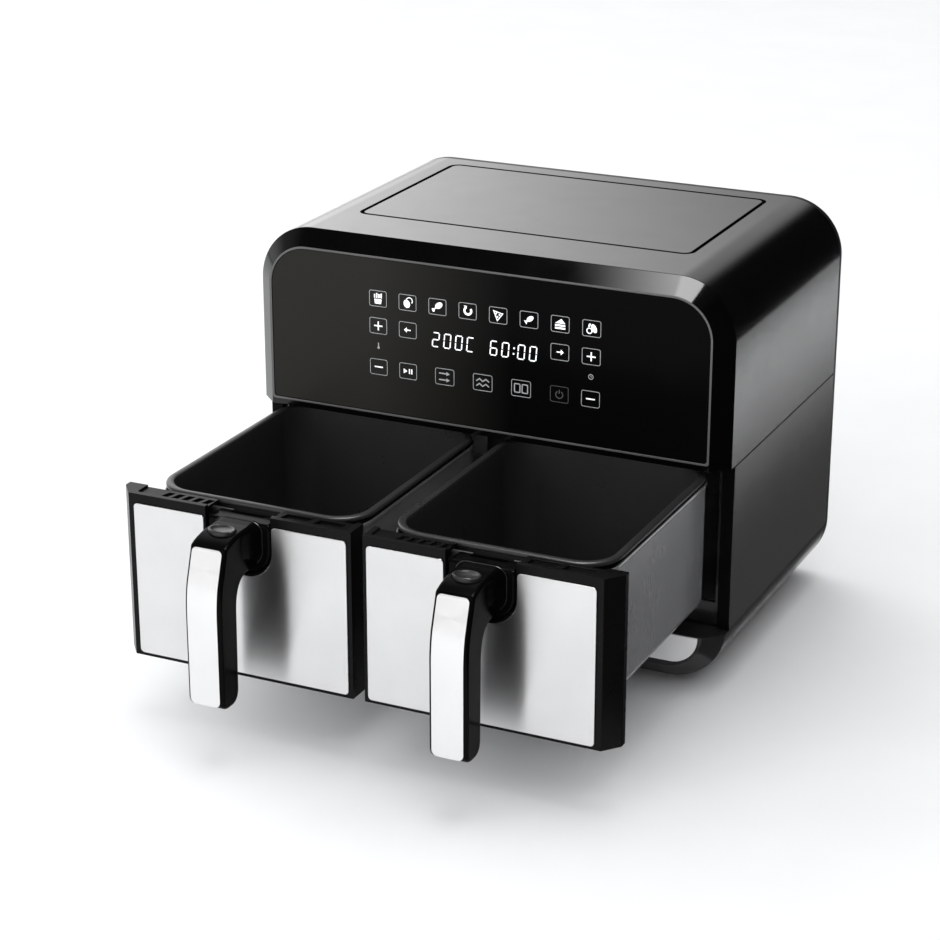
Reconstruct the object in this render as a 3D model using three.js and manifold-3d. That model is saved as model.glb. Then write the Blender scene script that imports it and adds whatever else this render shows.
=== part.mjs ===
// A two-drawer air fryer with both drawers pulled out.
// Millimetres, +Z up, the control panel faces -Y. Pieces are drawn with the closed front at y = 0 and
// the housing's underside at z = 0. The model is then set with its box centred on the origin in plan.
import * as THREE from 'three';
import { mergeVertices } from 'three/addons/utils/BufferGeometryUtils.js';
import Module from 'manifold-3d';

const wasm = await Module();
wasm.setup();

// ---------------------------------------------------------------- driving dimensions
const bodyWidth = 400;
const bodyDepth = 273;
const bodyHeight = 324;
const cornerRadius = 46;
const wall = 3;
const gap = 0.3;
const drawerOut = 211;          // how far both drawers stand out
const seamLower = 42;           // top of the base tray and its sill
const seamUpper = 178;          // underside of the front overhang
const frontBevelDepth = 13;
const frontBevelInset = 13.5;
const footHeight = 6;
const rearCoverDepth = 10;
const glandReach = 9;

const drawerCentre = 97;        // distance of a drawer's middle from the centre plane
const frameInner = 4.5;
const frameBottom = 43.5;
const frameTop = 174;
const frameDepth = 19.5;
const panHalfWidth = 87;
const panBottom = 62;
const panTop = 166;
const panFront = 20.5;
const panBack = 240;
const rimTop = 172.5;

const notchHalfWidth = 27;
const notchBottom = 127;
const gripWidth = 30;
const gripReach = 54;           // grip's front face ahead of the drawer's front
const gripBottom = 39.5;
const gripTop = 160;
const gripRear = -30;           // the grip's back, toward the drawer
const buttonY = -22;
const buttonTop = 169.5;
const buttonHalfWidth = 10.9;
const buttonHalfDepth = 7.9;
const buttonCap = 5.5;          // thickness of the button's cap
const wellRadius = 5;           // the well below the button holds its stem and coil
const wellBottom = 148;

const halfWidth = bodyWidth / 2;
const shellFront = frontBevelDepth + gap;
const shellBack = bodyDepth - rearCoverDepth - gap;
const fasciaFront = 26;
const fasciaBack = 30;
const chamberFloor = 60.5;
const openingTop = seamUpper - 1;

// ---------------------------------------------------------------- materials
function look(color, roughness, metalness) {
  return new THREE.MeshStandardMaterial({ color, roughness, metalness });
}

const glossBlack = look(0x111112, 0.18, 0.0);
const satinBlack = look(0x1d1d1f, 0.45, 0.0);
const darkGlass = look(0x0a0a0a, 0.06, 0.0);
const polishedSteel = look(0xdedede, 0.16, 1.0);
const coatedBlack = look(0x18181a, 0.4, 0.1);
const greyMetal = look(0x77787a, 0.38, 0.8);
const boardGreen = look(0x1f5a35, 0.6, 0.0);
const rubberBlack = look(0x161616, 0.85, 0.0);
const buttonGrey = look(0x3a3b3d, 0.35, 0.0);

// ---------------------------------------------------------------- solids
function toSolid(geometry) {
  const bare = geometry.clone();
  bare.deleteAttribute('normal');
  bare.deleteAttribute('uv');
  const merged = mergeVertices(bare, 1e-4);
  return new wasm.Manifold(new wasm.Mesh({
    numProp: 3,
    vertProperties: new Float32Array(merged.attributes.position.array),
    triVerts: new Uint32Array(merged.index.array),
  }));
}

function toGeometry(solid) {
  const mesh = solid.getMesh();
  const geometry = new THREE.BufferGeometry();
  geometry.setAttribute('position', new THREE.BufferAttribute(new Float32Array(mesh.vertProperties), 3));
  geometry.setIndex(new THREE.BufferAttribute(new Uint32Array(mesh.triVerts), 1));
  return geometry;
}

const asSolid = (shape) => (shape.isBufferGeometry ? toSolid(shape) : shape);
const cut = (body, ...tools) => tools.reduce((left, tool) => left.subtract(asSolid(tool)), asSolid(body));
const join = (body, ...others) => others.reduce((left, other) => left.add(asSolid(other)), asSolid(body));
const common = (body, other) => asSolid(body).intersect(asSolid(other));

// a box between two corners; the x limits may be given in either order
function block(xa, xb, y0, y1, z0, z1) {
  const geometry = new THREE.BoxGeometry(Math.abs(xb - xa), y1 - y0, z1 - z0);
  geometry.translate((xa + xb) / 2, (y0 + y1) / 2, (z0 + z1) / 2);
  return geometry;
}

function roundedShape(x0, x1, y0, y1, lowRadius, highRadius = lowRadius) {
  const shape = new THREE.Shape();
  shape.moveTo(x0 + lowRadius, y0);
  shape.lineTo(x1 - lowRadius, y0);
  if (lowRadius > 0) shape.absarc(x1 - lowRadius, y0 + lowRadius, lowRadius, -Math.PI / 2, 0);
  shape.lineTo(x1, y1 - highRadius);
  if (highRadius > 0) shape.absarc(x1 - highRadius, y1 - highRadius, highRadius, 0, Math.PI / 2);
  shape.lineTo(x0 + highRadius, y1);
  if (highRadius > 0) shape.absarc(x0 + highRadius, y1 - highRadius, highRadius, Math.PI / 2, Math.PI);
  shape.lineTo(x0, y0 + lowRadius);
  if (lowRadius > 0) shape.absarc(x0 + lowRadius, y0 + lowRadius, lowRadius, Math.PI, Math.PI * 1.5);
  return shape;
}

function polygon(points) {
  return new THREE.Shape(points.map(([x, y]) => new THREE.Vector2(x, y)));
}

function ellipseShape(x, y, radiusX, radiusY) {
  const shape = new THREE.Shape();
  shape.absellipse(x, y, radiusX, radiusY, 0, Math.PI * 2);
  return shape;
}

// an outline in x and z swept from one y to another
function alongY(shape, yFront, yBack, curveSegments = 6) {
  const depth = yBack - yFront;
  const geometry = new THREE.ExtrudeGeometry(shape, { depth, bevelEnabled: false, curveSegments });
  geometry.rotateX(Math.PI / 2);
  geometry.translate(0, yBack, 0);
  return geometry;
}

// an outline in x and y swept from one z to another
function alongZ(shape, z0, z1, curveSegments = 6) {
  const geometry = new THREE.ExtrudeGeometry(shape, { depth: z1 - z0, bevelEnabled: false, curveSegments });
  geometry.translate(0, 0, z0);
  return geometry;
}

// an outline in y and z swept from one x to another
function alongX(shape, x0, x1, curveSegments = 6) {
  const geometry = new THREE.ExtrudeGeometry(shape, { depth: x1 - x0, bevelEnabled: false, curveSegments });
  geometry.rotateX(Math.PI / 2);
  geometry.rotateZ(Math.PI / 2);
  geometry.translate(x0, 0, 0);
  return geometry;
}

function cylinderZ(x, y, radius, z0, z1, sides = 16) {
  const geometry = new THREE.CylinderGeometry(radius, radius, z1 - z0, sides);
  geometry.rotateX(Math.PI / 2);
  geometry.translate(x, y, (z0 + z1) / 2);
  return geometry;
}

function cylinderY(x, z, radius, y0, y1, sides = 16) {
  const geometry = new THREE.CylinderGeometry(radius, radius, y1 - y0, sides);
  geometry.translate(x, (y0 + y1) / 2, z);
  return geometry;
}

// a round wire along a curve
function wire(curve, radius, steps, sides) {
  const section = new THREE.Shape();
  section.absarc(0, 0, radius, 0, Math.PI * 2);
  const options = { extrudePath: curve, steps, bevelEnabled: false, curveSegments: sides };
  return new THREE.ExtrudeGeometry(section, options);
}

// ---------------------------------------------------------------- placing
const fryer = new THREE.Group();
const housing = new THREE.Group();
const drawers = new THREE.Group();
fryer.add(housing, drawers);
drawers.position.y = -drawerOut;
housing.position.z = footHeight;
drawers.position.z = footHeight;
const frontEnd = -(drawerOut + gripReach);
const backEnd = bodyDepth + glandReach;
fryer.position.y = -(frontEnd + backEnd) / 2;

function add(group, name, shape, material) {
  const mesh = new THREE.Mesh(shape.isBufferGeometry ? shape : toGeometry(shape), material);
  mesh.name = name;
  group.add(mesh);
}

// ---------------------------------------------------------------- the housing's skin
const bodyOutline = (inset) =>
  roundedShape(-halfWidth + inset, halfWidth - inset, inset, bodyHeight - inset, cornerRadius - inset);

// the full body outline with its front edge bevelled back
function bevelledBody(yBack) {
  const straight = yBack - frontBevelDepth;
  const geometry = new THREE.ExtrudeGeometry(bodyOutline(frontBevelInset), {
    depth: straight,
    bevelThickness: frontBevelDepth,
    bevelSize: frontBevelInset,
    bevelSegments: 1,
    curveSegments: 7,
  });
  geometry.rotateX(Math.PI / 2);
  geometry.translate(0, yBack, 0);
  const trimmed = block(-bodyWidth, bodyWidth, -1, yBack, -1, bodyHeight + 1);
  return common(geometry, trimmed);
}

const glassEdge = { half: 184.3, bottom: 184.5, top: 309.5, low: 2, high: 31 };
const glassOutline = (grow) => roundedShape(-glassEdge.half - grow, glassEdge.half + grow,
  glassEdge.bottom - grow, glassEdge.top + grow, glassEdge.low, glassEdge.high + grow);
const glassThickness = 3;
const glassPocket = glassThickness + 0.5;

function frontBezel() {
  const below = block(-bodyWidth, bodyWidth, -1, bodyDepth, -1, seamUpper);
  const pocket = alongY(glassOutline(gap), -1, glassPocket, 5);
  const window = alongY(glassOutline(-8), glassPocket - 1, frontBevelDepth + 1, 5);
  return cut(bevelledBody(frontBevelDepth), below, pocket, window);
}

const panelHalf = 139.5;
const panelFront = 69.5;
const panelBack = 243;
const panelGroove = 3.6;
const panelDepth = 1.8;
const panelOutline = (grow) =>
  roundedShape(-panelHalf - grow, panelHalf + grow, panelFront - grow, panelBack + grow, 6 + grow);

function upperShell() {
  const outer = alongY(bodyOutline(0), shellFront, shellBack, 7);
  const hollow = alongY(bodyOutline(wall), shellFront - 1, shellBack + 1, 7);
  const below = block(-bodyWidth, bodyWidth, 0, bodyDepth, -1, seamUpper);
  const panelSeat = alongZ(panelOutline(panelGroove), bodyHeight - panelDepth, bodyHeight + 1, 2);
  const lip = block(-halfWidth + 1, halfWidth - 1, shellFront, fasciaBack - gap, seamUpper, seamUpper + wall);
  return join(cut(outer, hollow, below, panelSeat), lip);
}

function lowerShell() {
  const front = 22;
  const openingInner = 8;
  const openingOuter = 186.5;
  const postInner = 190;
  const band = block(-bodyWidth, bodyWidth, 0, bodyDepth, seamLower + gap, seamUpper - gap);
  const walls = cut(alongY(bodyOutline(0), front, shellBack, 7), alongY(bodyOutline(wall), 0, bodyDepth, 7));
  const posts = [-1, 1].map((side) =>
    block(side * postInner, side * (halfWidth - 1), front, fasciaBack, 0, bodyHeight));
  const plate = block(-halfWidth + 1, halfWidth - 1, fasciaFront, fasciaBack, 0, bodyHeight);
  const openings = [-1, 1].map((side) =>
    block(side * openingInner, side * openingOuter, 0, bodyDepth, chamberFloor + 1, bodyHeight));
  return common(join(walls, ...posts, cut(plate, ...openings)), band);
}

function baseTray() {
  const front = 6;
  const floor = 3;
  const sill = 3.5;
  const above = block(-bodyWidth, bodyWidth, -1, bodyDepth, seamLower, bodyHeight + 1);
  const inside = bodyOutline(wall);
  const belowSill = common(alongY(inside, front, shellBack - 3, 7),
    block(-bodyWidth, bodyWidth, 0, bodyDepth, floor, seamLower - sill));
  const behindSill = common(alongY(inside, fasciaBack + 3, shellBack - 3, 7),
    block(-bodyWidth, bodyWidth, 0, bodyDepth, floor, bodyHeight));
  const inlaySeat = alongY(inlayOutline(gap), -1, 1.6, 5);
  const vents = [];
  const baseVentHalf = 60;
  const baseVentFirst = 90;
  const baseVentPitch = 18;
  for (let row = 0; row < 6; row += 1) {
    const y = baseVentFirst + row * baseVentPitch;
    vents.push(block(-baseVentHalf, baseVentHalf, y, y + 6, -1, floor + 1));
  }
  return cut(bevelledBody(shellBack), above, belowSill, behindSill, inlaySeat, ...vents);
}

const inlayHalf = 182;
function inlayOutline(grow) {
  return roundedShape(-inlayHalf - grow, inlayHalf + grow, 17.5 - grow, seamLower - 1.5 + grow, 22, 0.5);
}

const glandX = 150;
const glandZ = 70;
const glandRadius = 9;
const screwRadius = 3.5;
const screwPlaces = [[-170, 60], [170, 40], [-170, 290], [170, 290]];
const ventInner = 40;
const ventOuter = 155;
const ventBottom = 196;
const ventHeight = 5;
const ventPitch = 11;
const ventRows = 9;

function rearCover() {
  const bevel = 6;
  const geometry = new THREE.ExtrudeGeometry(bodyOutline(bevel), {
    depth: rearCoverDepth - bevel,
    bevelThickness: bevel,
    bevelSize: bevel,
    bevelSegments: 1,
    curveSegments: 7,
  });
  geometry.rotateX(Math.PI / 2);
  geometry.translate(0, bodyDepth - bevel, 0);
  const room = block(-bodyWidth, bodyWidth, bodyDepth - rearCoverDepth, bodyDepth + 1, -1, bodyHeight + 1);
  const slots = [];
  for (const side of [-1, 1]) {
    for (let row = 0; row < ventRows; row += 1) {
      const z = ventBottom + row * ventPitch;
      slots.push(block(side * ventInner, side * ventOuter, shellBack, bodyDepth + 1, z, z + ventHeight));
    }
  }
  const gland = cylinderY(glandX, glandZ, glandRadius + gap, shellBack - 1, bodyDepth + 1, 20);
  const screws = screwPlaces.map(([x, z]) =>
    cylinderY(x, z, screwRadius + gap, bodyDepth - 3, bodyDepth + 1, 12));
  return cut(common(geometry, room), ...slots, gland, ...screws);
}

// a short flanged sleeve with a through hole; its profile is radius against distance behind the housing
function cordGland() {
  const bore = 4;
  const inside = -16;
  const barrel = glandRadius - 1;
  const profile = [[bore, inside], [barrel, inside], [barrel, 0], [glandRadius + 3, gap],
    [glandRadius + 2, 3], [bore + 2, glandReach], [bore, glandReach], [bore, inside]];
  const sleeve = new THREE.LatheGeometry(profile.map(([r, y]) => new THREE.Vector2(r, y)), 20);
  sleeve.translate(glandX, bodyDepth, glandZ);
  return sleeve;
}

add(housing, 'upper_shell', upperShell(), glossBlack);
add(housing, 'front_bezel', frontBezel(), glossBlack);
add(housing, 'control_glass', alongY(glassOutline(0), 0.2, glassThickness + 0.2, 5), darkGlass);
add(housing, 'top_panel', alongZ(panelOutline(0), bodyHeight - panelDepth + gap, bodyHeight, 2), satinBlack);
add(housing, 'lower_shell', lowerShell(), glossBlack);
add(housing, 'base_tray', baseTray(), glossBlack);
add(housing, 'sill_inlay', alongY(inlayOutline(0), 0.1, 1.3, 5), polishedSteel);
add(housing, 'rear_cover', rearCover(), satinBlack);
add(housing, 'cord_gland', cordGland(), rubberBlack);
screwPlaces.forEach(([x, z], index) => {
  const screw = cylinderY(x, z, screwRadius, bodyDepth - 2.7, bodyDepth - 0.5, 12);
  add(housing, `rear_screw_${index + 1}`, screw, greyMetal);
});

const footX = 150;
const footFront = 40;
const footBack = 235;
for (const [x, y, name] of [[-footX, footFront, 'front_left'], [footX, footFront, 'front_right'],
  [-footX, footBack, 'rear_left'], [footX, footBack, 'rear_right']]) {
  const foot = new THREE.CylinderGeometry(12, 9.5, footHeight - gap, 20);
  foot.rotateX(Math.PI / 2);
  foot.translate(x, y, -(footHeight + gap) / 2);
  add(housing, `foot_${name}`, foot, rubberBlack);
}

// ---------------------------------------------------------------- electronics and heating
const boardThickness = 1.6;
const sunk = 0.5;               // how far a part on a board reaches into it

// an upright board behind the glass, with two digit blocks on its front and a socket on its back
function displayBoard() {
  const front = 9;
  const half = 118;
  const digitMiddle = 26;
  const digitHalf = 23;
  const digitFront = 4.2;
  const plate = block(-half, half, front, front + boardThickness, 198, 298);
  const digits = [-digitMiddle, digitMiddle].map((x) =>
    block(x - digitHalf, x + digitHalf, digitFront, front + sunk, 240, 262));
  const socket = block(-90, -50, front + boardThickness - sunk, 16, 205, 213);
  return join(plate, ...digits, socket);
}

// an upright board near the back, with its tall parts facing forward
function powerBoard() {
  const front = 232;
  const half = 80;
  const plate = block(-half, half, front, front + boardThickness, 232, 306);
  const transformer = block(-60, -24, front - 24, front + sunk, 250, 280);
  const relays = [0, 24, 48].map((x) => block(x, x + 18, front - 16, front + sunk, 258, 276));
  const capacitor = cylinderY(-6, 244, 6, front - 20, front + sunk, 12);
  return join(plate, transformer, ...relays, capacitor);
}

add(housing, 'display_board', displayBoard(), boardGreen);
add(housing, 'power_board', powerBoard(), boardGreen);

const chamberInner = 8;
const chamberOuter = 187;
const chamberBack = 252;
const chamberTop = 214;
const sheet = 1.2;
const fanY = 140;
const fanZ = 196;               // underside of the fan blades
const fanRadius = 40;
const shaftRadius = 3;
const heaterLevel = 187;
const heaterLead = 67;          // where the rod's ends go up, beside the shaft

function chamberLiner(side) {
  const front = fasciaBack + gap;
  const inner = side * (chamberInner + sheet);
  const outer = side * (chamberOuter - sheet);
  const shell = block(side * chamberInner, side * chamberOuter, front, chamberBack,
    chamberFloor - sheet, chamberTop);
  const hollow = block(inner, outer, front + sheet, chamberBack - sheet, chamberFloor, chamberTop - sheet);
  const mouth = block(inner, outer, fasciaBack - 1, fasciaBack + 5, chamberFloor, openingTop);
  const shaftHole = cylinderZ(side * drawerCentre, fanY, shaftRadius + 2, chamberTop - 3, chamberTop + 1);
  const leadX = drawerCentre + heaterLead;
  const leadHole = block(side * (leadX - 26), side * (leadX + 7), fanY - 8, fanY + 8,
    chamberTop - 3, chamberTop + 1);
  return cut(shell, hollow, mouth, shaftHole, leadHole);
}

// two turns of heating rod below the fan, with both ends turned up through the ceiling
function heatingElement(side) {
  const centreX = side * drawerCentre;
  const points = [];
  const leadX = centreX + side * heaterLead;
  const turns = 2;
  const stops = 28;
  const outerRadius = 62;
  const innerRadius = 48;
  const rodRadius = 3;
  points.push(new THREE.Vector3(leadX, fanY - 4, chamberTop + 8));
  points.push(new THREE.Vector3(leadX, fanY - 4, heaterLevel + 10));
  for (let step = 0; step <= stops; step += 1) {
    const share = step / stops;
    const angle = 0.12 + share * (turns * 2 * Math.PI - 0.3);
    const radius = outerRadius + (innerRadius - outerRadius) * share;
    const x = centreX + side * radius * Math.cos(angle);
    points.push(new THREE.Vector3(x, fanY + radius * Math.sin(angle), heaterLevel));
  }
  const innerX = centreX + side * (innerRadius - 1);
  points.push(new THREE.Vector3(innerX, fanY - 1, heaterLevel + 3));
  points.push(new THREE.Vector3(innerX, fanY + 1, heaterLevel + 11));
  points.push(new THREE.Vector3(innerX, fanY + 1, chamberTop + 8));
  return wire(new THREE.CatmullRomCurve3(points), rodRadius, 84, 3);
}

function fanMotor(side) {
  const x = side * drawerCentre;
  const canBottom = chamberTop + 8;
  const canHeight = 32;
  const earReach = 38;
  const can = cylinderZ(x, fanY, 24, canBottom, canBottom + canHeight, 20);
  const boss = cylinderZ(x, fanY, 12, chamberTop + 3, canBottom + 2, 14);
  const shaft = cylinderZ(x, fanY, shaftRadius, fanZ - 2, chamberTop + 5, 12);
  const ears = block(x - earReach, x + earReach, fanY - 7, fanY + 7, canBottom, canBottom + 3);
  return join(can, boss, shaft, ears);
}

function fan(side) {
  const x = side * drawerCentre;
  const hubRadius = 8;
  const bladeHeight = 8.4;
  const bladeInner = hubRadius - 1.5;
  const bladeLength = fanRadius - 1.5 - bladeInner;
  const disc = cylinderZ(x, fanY, fanRadius, fanZ + 8, fanZ + 8 + sheet, 24);
  const hub = cylinderZ(x, fanY, hubRadius, fanZ - 1, fanZ + 8.9, 14);
  const blades = [];
  const bladeCount = 8;
  for (let index = 0; index < bladeCount; index += 1) {
    const blade = new THREE.BoxGeometry(bladeLength, sheet, bladeHeight);
    blade.translate(bladeInner + bladeLength / 2, 0, 0);
    blade.rotateZ(((index + 0.3) / bladeCount) * Math.PI * 2);
    blade.translate(x, fanY, fanZ + 0.1 + bladeHeight / 2);
    blades.push(blade);
  }
  return cut(join(disc, hub, ...blades), cylinderZ(x, fanY, shaftRadius + gap, fanZ - 5, fanZ + 15, 12));
}

// ---------------------------------------------------------------- one drawer
const plateInner = 8;           // the steel plate's edges
const plateOuter = 184.7;
const plateBottom = 46.5;
const plateTop = 167;
const plateThickness = 0.9;

// the U-shaped opening in a drawer's front, open at the top
function notchShape(side, inset, top) {
  const x = side * drawerCentre;
  const half = notchHalfWidth - inset;
  const radius = 20;
  return roundedShape(x - half, x + half, notchBottom + inset, top, radius, 0);
}

function drawerFrame(side) {
  const outerFlat = 189.5;
  const outline = polygon([[side * frameInner, 0], [side * outerFlat, 0], [side * halfWidth, frontBevelDepth],
    [side * halfWidth, frameDepth], [side * frameInner, frameDepth]]);
  const faceThickness = 5;
  const shelfThickness = 4;
  const cavity = block(side * (frameInner + 4), side * (outerFlat - 2), faceThickness, frameDepth + 1,
    frameBottom + shelfThickness, frameTop - shelfThickness);
  const slots = [];
  const slotCount = 5;
  const slotPitch = 8.5;
  const slotWidth = 5;
  const slotFront = 6;
  const slotBack = 16;
  for (const start of [frameInner + 20, frameInner + 116]) {
    for (let index = 0; index < slotCount; index += 1) {
      const x = start + index * slotPitch;
      slots.push(block(side * x, side * (x + slotWidth), slotFront, slotBack,
        frameTop - shelfThickness - 1, frameTop + 1));
    }
  }
  const notch = alongY(notchShape(side, 0, frameTop + 20), -1, frameDepth + 1);
  return cut(alongZ(outline, frameBottom, frameTop), cavity, notch, ...slots);
}

function steelPlate(side) {
  const low = Math.min(side * plateInner, side * plateOuter);
  const high = Math.max(side * plateInner, side * plateOuter);
  const face = roundedShape(low, high, plateBottom, plateTop, 3);
  return cut(alongY(face, -gap - plateThickness, -gap, 3), alongY(notchShape(side, 0, frameTop), -3, 1));
}

// an open tub with rounded upright corners and a turned-out rim
function tub(side, halfX, front, back, bottom, top, radius, thick, rim) {
  const x = side * drawerCentre;
  const outline = (grow) =>
    roundedShape(x - halfX - grow, x + halfX + grow, front - grow, back + grow, radius + grow);
  const outer = alongZ(outline(0), bottom, top, 5);
  const lip = alongZ(outline(rim), top - 2.5, top, 5);
  const hollow = alongZ(outline(-thick), bottom + thick, top + 1, 5);
  return cut(join(outer, lip), hollow);
}

const tubRadius = 24;
const tubSheet = 1;
const basketHalf = 81;
const basketFront = 27;
const basketBack = 232;
const basketBottom = 68;

const tongueHalf = 15;
const tongueBottom = 133;
const tongueTop = 160;

// the pan's front wall has a slot, open at the top, for the tongue that holds the handle to the basket
function pan(side) {
  const x = side * drawerCentre;
  const slot = block(x - tongueHalf - 1, x + tongueHalf + 1, panFront - 1, panFront + 6,
    tongueBottom - 1, panTop + 1);
  const rimReach = 1;
  const body = tub(side, panHalfWidth - 2, panFront + 1.5, panBack - 2, panBottom, panTop,
    tubRadius, tubSheet, rimReach);
  return cut(body, slot);
}

function basket(side) {
  const x = side * drawerCentre;
  const slotHalf = 45;
  const slotPitch = 28;
  const slots = [];
  for (let row = 0; row < 5; row += 1) {
    const y = basketFront + 45 + row * slotPitch;
    slots.push(block(x - slotHalf, x + slotHalf, y, y + 8, basketBottom - 1, basketBottom + 5));
  }
  const rimReach = 5.5;
  const body = tub(side, basketHalf, basketFront, basketBack, basketBottom, rimTop,
    tubRadius, tubSheet, rimReach);
  return cut(body, ...slots);
}

const crisperBottom = 76;
const crisperSheet = 2.5;
const crisperMargin = 4;
const crisperHalf = basketHalf - crisperMargin;

// a slotted plate on four legs that stand on the basket's floor
function crisperPlate(side) {
  const x = side * drawerCentre;
  const outline = roundedShape(x - crisperHalf, x + crisperHalf, basketFront + crisperMargin,
    basketBack - crisperMargin, 20);
  const slotHalf = 17;
  const columnPitch = 48;
  const rowPitch = 18.5;
  const slots = [];
  for (let row = 0; row < 9; row += 1) {
    for (const column of [-1, 0, 1]) {
      const y = basketFront + 22 + row * rowPitch;
      const middle = x + column * columnPitch;
      slots.push(block(middle - slotHalf, middle + slotHalf, y, y + 6, crisperBottom - 1, crisperBottom + 5));
    }
  }
  const legs = [];
  const legInset = 12;
  for (const across of [-1, 1]) {
    for (const y of [basketFront + crisperMargin + legInset, basketBack - crisperMargin - legInset]) {
      const legX = x + across * (crisperHalf - legInset);
      legs.push(cylinderZ(legX, y, 4, basketBottom + tubSheet + gap, crisperBottom + 1, 10));
    }
  }
  return join(cut(alongZ(outline, crisperBottom, crisperBottom + crisperSheet, 5), ...slots), ...legs);
}

// a soft pad clipped over the crisper plate's edge
function crisperBumper(side, across, y) {
  const half = 7;
  const grasp = 5;              // how far the pad reaches over the plate
  const bulge = 1.8;            // and how far it stands out beyond it
  const cheek = 3;
  const edge = side * drawerCentre + across * crisperHalf;
  const back = edge - across * grasp;
  const plateTopZ = crisperBottom + crisperSheet;
  const pad = block(back, edge + across * bulge, y - half, y + half,
    crisperBottom - cheek, plateTopZ + cheek);
  const mouth = block(back - across, edge + across * gap, y - half - 1, y + half + 1, crisperBottom - gap,
    plateTopZ + gap);
  return cut(pad, mouth);
}

const stripThickness = 1.1;

// side outline of the neck and grip: over the top, down the front, round the end and up the back
function handleOutline(inset) {
  const neckRoot = 6;
  const neckTop = 165.5;
  const neckBottom = 136;
  const kneeHeight = 137;       // the face slopes above it and stands upright below it
  const front = inset - gripReach;
  const brow = front + 10;
  const shape = new THREE.Shape();
  shape.moveTo(neckRoot, neckTop);
  shape.lineTo(buttonY + 13, buttonTop - 1.5);
  shape.lineTo(buttonY - 9, buttonTop - 3);
  shape.quadraticCurveTo(buttonY - 17, gripTop + 5, brow + 2.5, gripTop + 2.5);
  shape.quadraticCurveTo(brow + 0.6, gripTop + 1.5, brow, gripTop - 1);
  shape.lineTo(front + 2.8, kneeHeight);
  shape.quadraticCurveTo(front + 0.6, kneeHeight - 6, front, kneeHeight - 21);
  shape.lineTo(front, gripBottom + 6);
  shape.quadraticCurveTo(front + 1, gripBottom + 1, front + 7, gripBottom);
  shape.lineTo(gripRear - 8, gripBottom + 1);
  shape.quadraticCurveTo(gripRear - 1, gripBottom + 3, gripRear, gripBottom + 10);
  shape.lineTo(gripRear + 1.5, neckBottom - 14);
  shape.quadraticCurveTo(gripRear + 3, neckBottom - 2, gripRear + 10, neckBottom);
  shape.lineTo(neckRoot, neckBottom);
  return shape;
}

function handleBody(side) {
  const x = side * drawerCentre;
  const bracketTop = 168.5;
  const bracketFront = 4;
  const seatGap = 0.5;
  const seatFloor = 159.5;
  const seatOutline = ellipseShape(x, buttonY, buttonHalfWidth + seatGap, buttonHalfDepth + seatGap);
  const grip = alongX(handleOutline(stripThickness + gap), x - gripWidth / 2, x + gripWidth / 2, 5);
  const bracket = alongY(notchShape(side, 2 * gap, bracketTop), bracketFront, frameDepth + 0.5);
  const tongue = block(x - tongueHalf, x + tongueHalf, frameDepth, basketFront - gap,
    tongueBottom, tongueTop);
  const seat = alongZ(seatOutline, seatFloor, buttonTop + 4, 8);
  const well = cylinderZ(x, buttonY, wellRadius, wellBottom, seatFloor + 2.5, 12);
  return cut(join(grip, bracket, tongue), seat, well);
}

// a polished band down the front of the grip
function handleStrip(side) {
  const x = side * drawerCentre;
  const half = 12.2;
  const upperEnd = -42.6;
  const lowerEnd = gripBottom + 3.5;
  const skin = alongX(handleOutline(0), x - half, x + half, 5);
  const core = alongX(handleOutline(stripThickness), x - half - 1, x + half + 1, 5);
  const band = block(x - half, x + half, -gripReach - 1, upperEnd, lowerEnd, gripTop + 2);
  return common(cut(skin, core), band);
}

function releaseButton(side) {
  const x = side * drawerCentre;
  const stemRadius = 1.8;
  const stemBottom = wellBottom + 5;
  const outline = ellipseShape(x, buttonY, buttonHalfWidth, buttonHalfDepth);
  const cap = alongZ(outline, buttonTop - buttonCap, buttonTop, 8);
  return join(cap, cylinderZ(x, buttonY, stemRadius, stemBottom, buttonTop - buttonCap + 0.5, 10));
}

function buttonSpring(side) {
  const turns = 5;
  const stepsPerTurn = 10;
  const steps = turns * stepsPerTurn;
  const coilRadius = 3.4;
  const wireRadius = 0.45;
  const bottom = wellBottom + 1;
  const length = buttonTop - buttonCap - 2 * wireRadius - bottom;
  const points = [];
  for (let step = 0; step <= steps; step += 1) {
    const angle = (step / stepsPerTurn) * Math.PI * 2;
    const z = bottom + (length * step) / steps;
    points.push(new THREE.Vector3(coilRadius * Math.cos(angle), coilRadius * Math.sin(angle), z));
  }
  const coil = wire(new THREE.CatmullRomCurve3(points), wireRadius, steps, 2);
  coil.translate(side * drawerCentre, buttonY, 0);
  return coil;
}

for (const [side, word] of [[-1, 'left'], [1, 'right']]) {
  add(housing, `chamber_liner_${word}`, chamberLiner(side), greyMetal);
  add(housing, `heating_element_${word}`, heatingElement(side), greyMetal);
  add(housing, `fan_motor_${word}`, fanMotor(side), greyMetal);
  add(housing, `fan_${word}`, fan(side), greyMetal);
  add(drawers, `drawer_frame_${word}`, drawerFrame(side), satinBlack);
  add(drawers, `steel_plate_${word}`, steelPlate(side), polishedSteel);
  add(drawers, `pan_${word}`, pan(side), greyMetal);
  add(drawers, `basket_${word}`, basket(side), coatedBlack);
  add(drawers, `crisper_plate_${word}`, crisperPlate(side), coatedBlack);
  for (const [across, edge] of [[-1, 'left'], [1, 'right']]) {
    for (const [y, end] of [[basketFront + 34, 'front'], [basketBack - 34, 'rear']]) {
      add(drawers, `crisper_bumper_${word}_${end}_${edge}`, crisperBumper(side, across, y), rubberBlack);
    }
  }
  add(drawers, `handle_${word}`, handleBody(side), glossBlack);
  add(drawers, `handle_strip_${word}`, handleStrip(side), polishedSteel);
  add(drawers, `release_button_${word}`, releaseButton(side), buttonGrey);
  add(drawers, `button_spring_${word}`, buttonSpring(side), greyMetal);
}

export default fryer;
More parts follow.
